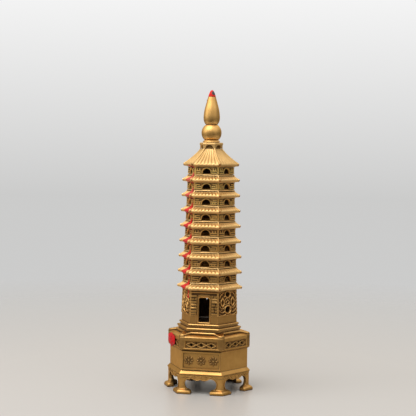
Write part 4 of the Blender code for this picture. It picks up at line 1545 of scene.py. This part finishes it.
# %% Beads and leaves of the apron
LOBE_WIDTH = 6.5 * MM
LOBE_LEVEL = 11.4 * MM
CUSP_LEVEL = 12.3 * MM
LEAVES = (((10.2, 15.4), (11.6, 14.9), (12.9, 13.7), (13.6, 12.2)),
          ((9.0, 15.9), (11.6, 16.0), (13.8, 15.2), (15.2, 13.6)),
          ((6.9, 15.6), (8.0, 14.9), (9.2, 14.7), (9.9, 15.1)),
          ((0.7, 15.6), (2.2, 15.9), (3.8, 15.2), (4.9, 14.2), (4.6, 13.4), (3.8, 13.5)),
          ((6.2, 14.2), (5.8, 15.2), (4.8, 15.9)))


def stand_at(level):
    """The apron's corner radius is the same at every level."""
    return STAND_RADIUS


def apron_edge(across):
    """Height of the apron's lower edge."""
    distance = abs(across)
    if distance < LOBE_WIDTH:
        return CUSP_LEVEL - (CUSP_LEVEL - LOBE_LEVEL) * math.sin(math.pi * distance / LOBE_WIDTH)
    arm_start = STAND_RADIUS / 2.0 - LEG_ARM
    rise = min((distance - LOBE_WIDTH) / (arm_start - LOBE_WIDTH), 1.0)
    return CUSP_LEVEL + (LEG_TOP - CUSP_LEVEL) * rise


def opening_path():
    """Up the arc of one leg, along the apron and down the next leg."""
    leg = []
    for step in range(13):
        share = step / 12
        level = ARC_LOW + (LEG_TOP - ARC_LOW) * share
        leg.append((-(STAND_RADIUS / 2.0 - leg_arm(share)) - 0.45 * MM, level))
    apron = []
    reach = 8.6 * MM
    for step in range(33):
        across = -reach + 2.0 * reach * step / 32
        apron.append((across, apron_edge(across) + 0.45 * MM))
    return leg[:-1] + apron + [(-across, level) for across, level in reversed(leg[:-1])]


def make_apron_relief():
    """Edge beads and leaf lines on all six sides of the stand."""
    body = bmesh.new()
    for side in range(SIDES):
        sweep(body, on_side(side, opening_path(), stand_at), bead(0.75 * MM, 0.45 * MM))
        for mirror in (-1.0, 1.0):
            for leaf in LEAVES:
                curve = smooth_path([(mirror * across * MM, level * MM) for across, level in leaf], 4)
                last = len(curve) - 1
                sizes = [0.45 + 0.55 * math.sin(math.pi * index / last) for index in range(last + 1)]
                sweep(body, on_side(side, curve, stand_at), bead(0.85 * MM, 0.45 * MM), sizes=sizes)
        dome(body, side, oval(1.5 * MM, 2.2 * MM, 0.0, 14.4 * MM, 12), 0.5 * MM, stand_at)
    add_piece("apron_relief", body, bronze)


make_apron_relief()
print("apron relief triangles:", piece_triangles["apron_relief"])

# %% [markdown]
# ## Finial
# A hexagonal crown with an arched cut in each face carries a ball and a brush-shaped spire. The
# spire's point is painted red and worn. Turned forms need many segments here, because the smooth
# ball mirrors the whole room.

# %% Crown
crown_low, crown_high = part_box("crown_collar")
CROWN_RADIUS = crown_high.x


def arched_face(radius, low, high, arch_half, arch_top):
    """Outline of one crown face as (share of the half side, level), with an arched cut below."""
    points = [(-1.0, low)]
    for step in range(13):
        turn = math.pi * step / 12
        points.append((-arch_half * math.cos(turn), low + (arch_top - low) * math.sin(turn) ** 0.8))
    points += [(1.0, low), (1.0, high), (-1.0, high)]
    return [(share * radius / 2.0, level) for share, level in points]


def make_crown():
    """Six faces with an arched cut around a dark core, which is painted shade, under a solid rim."""
    body = bmesh.new()
    rim = crown_high.z - 2.1 * MM
    for side in range(SIDES):
        loops = []
        for radius, shift in ((CROWN_RADIUS - 2.0 * MM, 0.0), (CROWN_RADIUS - 0.75 * MM, 0.0),
                              (CROWN_RADIUS - 0.4 * MM, 0.3 * MM)):
            outline = arched_face(radius, crown_low.z + shift * 0.5, rim + 0.2 * MM - shift * 0.5,
                                  0.68 + shift * 60.0, rim - 0.05 * MM)
            loops.append([side_point(side, across, level, radius) for across, level in outline])
        skin(body, loops)
    cap = [(CROWN_RADIUS - 2.2 * MM, rim), (CROWN_RADIUS - 0.25 * MM, rim), (CROWN_RADIUS, rim + 0.2 * MM),
           (CROWN_RADIUS, rim + 1.3 * MM), (CROWN_RADIUS - 0.3 * MM, rim + 1.85 * MM),
           (CROWN_RADIUS - 0.9 * MM, crown_high.z)]
    skin(body, [hexagon(radius, level) for radius, level in cap])
    add_piece("crown_faces", body, tiled, ["crown_collar"])
    body = bmesh.new()
    core = [(CROWN_RADIUS - 2.1 * MM, crown_low.z - SPIGOT), (CROWN_RADIUS - 2.3 * MM, crown_low.z + 1.2 * MM),
            (CROWN_RADIUS - 2.3 * MM, rim + 0.2 * MM)]
    skin(body, [hexagon(radius, level) for radius, level in core])
    add_piece("crown_core", body, tarnish_and_shade)


make_crown()
print("crown triangles:", piece_triangles["crown_faces"])

# %% Turned pieces of the spire
SPIRE_SEGMENTS = 64
PIN_INSET = 0.35 * MM
BASE_SHAPE = ((7.2, 0.0), (7.5, 0.35), (7.4, 0.75), (6.9, 1.2), (6.4, 1.8), (0.2, 1.8))
BRUSH_SHAPE = ((5.3, 0.0), (6.2, 1.4), (6.85, 3.2), (7.1, 5.2), (7.05, 7.5), (6.65, 10.9), (6.05, 14.0),
               (5.15, 17.3), (4.25, 20.4), (3.4, 23.7))
TIP_SHAPE = ((3.3, 0.0), (3.05, 0.9), (2.65, 2.1), (2.0, 3.7), (1.4, 4.8), (0.75, 5.45), (0.1, 5.7))


def spire_piece(name, node, shape, material, steps=3):
    """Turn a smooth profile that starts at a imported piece's foot and ends inside its top."""
    low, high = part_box(node)
    profile = [(point[0], low.z + point[1]) for point in smooth_path([(r * MM, z * MM) for r, z in shape], steps)]
    profile = [(max(radius, 0.02 * MM), min(level, high.z)) for radius, level in profile]
    foot_radius = shape[0][0] * MM
    pin = foot_radius - PIN_INSET
    foot = [(0.05 * MM, low.z - SPIGOT), (pin, low.z - SPIGOT), (pin, low.z), (foot_radius, low.z)]
    body = bmesh.new()
    turned(body, foot + profile[1:] + [(0.05 * MM, profile[-1][1])], SPIRE_SEGMENTS)
    add_piece(name, body, material, [node])


def make_ball():
    """A round ball with a flat foot and a small flat top."""
    low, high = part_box("finial_ball")
    radius = high.x
    centre = low.z + 6.0 * MM
    profile = [(0.05 * MM, low.z - SPIGOT), (5.8 * MM, low.z - SPIGOT), (5.8 * MM, low.z), (6.1 * MM, low.z)]
    start = math.asin((low.z - centre + 0.15 * MM) / radius)
    end = math.asin((high.z - centre) / radius)
    for step in range(25):
        turn = start + (end - start) * step / 24
        profile.append((radius * math.cos(turn), centre + radius * math.sin(turn)))
    profile.append((0.05 * MM, high.z))
    body = bmesh.new()
    turned(body, profile, SPIRE_SEGMENTS)
    add_piece("spire_ball", body, polished, ["finial_ball"])


spire_piece("spire_foot", "finial_base", BASE_SHAPE, polished, 1)
make_ball()
spire_piece("spire_brush", "finial_brush", BRUSH_SHAPE, polished)
spire_piece("spire_point", "finial_tip", TIP_SHAPE, red_tip)
speck = bmesh.new()
ball(speck, Vector((-3.95 * MM, -0.85 * MM, 251.2 * MM)), 0.5 * MM)
add_piece("spire_speck", speck, tarnish_and_shade)

# %% [markdown]
# ## Red ribbon and plaque
# A painted ribbon in relief winds down the side left of the front. On each storey it passes
# right of the window, slides out over the tiles, wraps the eave's edge and returns to the wall
# below. One path with a turning outward direction makes it, so it stays a single band. Lower
# down a faceted enamel plaque sits on the band.

# %% Ribbon
RIBBON_WALL = 3.0
RIBBON_TILES = 12.5
FADED_DOWN_TO = 7
RIBBON_HEIGHT = 0.5 * MM


def slope_radius(storey, level):
    """Corner radius of a tiled slope at a level."""
    rows = eave_slope(storey)
    for (low_radius, low_level, _, _), (high_radius, high_level, _, _) in zip(rows, rows[1:]):
        if level <= high_level:
            share = max(0.0, (level - low_level) / (high_level - low_level))
            return low_radius + (high_radius - low_radius) * share
    return rows[-1][0]


def ribbon_knots(storey):
    """(across, width, radius, level, outward, upward) knots over one eave, from top to bottom."""
    edge, radius = eave_size(storey)
    wall = wall_radius(edge - CORNICE_DROP)
    rail = wall_radius(edge + RAIL_TOP)
    full = min(1.0, 0.75 + 0.08 * (STOREYS - storey))
    knots = []
    if storey < STOREYS:
        knots += [(7.6, RIBBON_WALL, wall_radius(edge + 8.6 * MM) + 0.3 * MM, 8.6, 1.0, 0.0),
                  (7.4, RIBBON_WALL * 1.2, rail + 1.15 * MM, 5.5, 0.9, 0.45)]
        for across, width, level in ((6.0, 0.5, 4.1), (4.2, 0.75, 3.1), (2.4, 1.0, 1.9), (1.2, 1.0, 1.1)):
            place = slope_radius(storey, edge + level * MM) + EAVE_RIDGE * 1.2
            knots.append((across, RIBBON_TILES * width * full, place, level, 0.62, 0.78))
    knots += [(1.2, RIBBON_TILES * 0.9 * full, radius - 0.35 * MM, 0.35, 1.0, 0.1),
              (2.6, RIBBON_TILES * 0.55 * full, radius - 1.4 * MM, -0.65, 0.5, -0.85),
              (5.6, RIBBON_WALL * 1.2, wall + 1.6 * MM, -1.15, 0.6, -0.8),
              (7.0, RIBBON_WALL, wall + 0.4 * MM, -2.6, 1.0, 0.0)]
    return [(across, width, place, edge + level * MM, out, rise)
            for across, width, place, level, out, rise in knots]


def make_ribbon():
    """The painted ribbon, from the roof's eave down to the ground storey; its top is faded."""
    knots = []
    faded_knots = 0
    for storey in range(STOREYS, 0, -1):
        knots += ribbon_knots(storey)
        if storey >= FADED_DOWN_TO:
            faded_knots = len(knots)
    for across, level in ((6.6, 83.0 * MM), (7.6, 80.4 * MM)):
        knots.append((across, RIBBON_WALL * 0.8, wall_radius(level) + 0.9 * MM, level, 1.0, 0.0))
    steps = 3
    places = smooth_path([side_point(LEFT, across * MM, level, radius)
                          for across, _, radius, level, _, _ in knots], steps)
    leans = smooth_path([side_normal(LEFT) * out + UP * rise for _, _, _, _, out, rise in knots], steps)
    widths = smooth_path([(width * MM, 0.0, 0.0) for _, width, _, _, _, _ in knots], steps)
    along = UP.cross(side_normal(LEFT))
    loops = []
    for place, lean, width in zip(places, leans, widths):
        lean = lean.normalized()
        half = width.x / 2.0
        section = [(-half, -0.7 * MM), (-half, 0.0), (-half * 0.8, RIBBON_HEIGHT * 0.7), (0.0, RIBBON_HEIGHT),
                   (half * 0.8, RIBBON_HEIGHT * 0.7), (half, 0.0), (half, -0.7 * MM)]
        loops.append([place + along * offset + lean * height for offset, height in section])
    split = faded_knots * steps
    for name, part, paint in (("faded_ribbon", loops[:split + 1], faded_paint),
                              ("red_ribbon", loops[split:], red_paint)):
        body = bmesh.new()
        skin(body, part)
        add_piece(name, body, paint)


make_ribbon()
print("ribbon triangles:", piece_triangles["red_ribbon"])

# %% Plaque
PLAQUE_SHAPE = ((-0.5, -0.22), (-0.5, 0.28), (-0.02, 0.46), (0.5, 0.30), (0.5, -0.20), (0.0, -0.5))
PLAQUE_CENTRE = (-6.6 * MM, 42.6 * MM)
PLAQUE_SIZE = (20.0 * MM, 13.0 * MM)


def make_plaque():
    """A faceted enamel plaque with a softened edge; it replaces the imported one."""
    body = bmesh.new()
    loops = []
    for scale, proud in ((0.99, 0.1), (1.0, 0.3), (0.985, 0.62), (0.56, 1.92), (0.52, 2.0)):
        loop = []
        for across, level in PLAQUE_SHAPE:
            place = PLAQUE_CENTRE[0] + across * PLAQUE_SIZE[0] * scale
            height = PLAQUE_CENTRE[1] + level * PLAQUE_SIZE[1] * scale
            loop.append(side_point(LEFT, place, height, BAND_RADIUS, proud * MM))
        loops.append(loop)
    skin(body, loops)
    add_piece("enamel_plaque", body, red_gloss, ["red_plaque"], 12.0)


make_plaque()
print("plaque triangles:", piece_triangles["enamel_plaque"])

# %% [markdown]
# ## Close
# The last line counts the pieces and their triangles. The finished model has to stay inside the
# imported one.

# %% Sizes and the last line
print("pieces:", len(piece_triangles), "triangles:", sum(piece_triangles.values()))
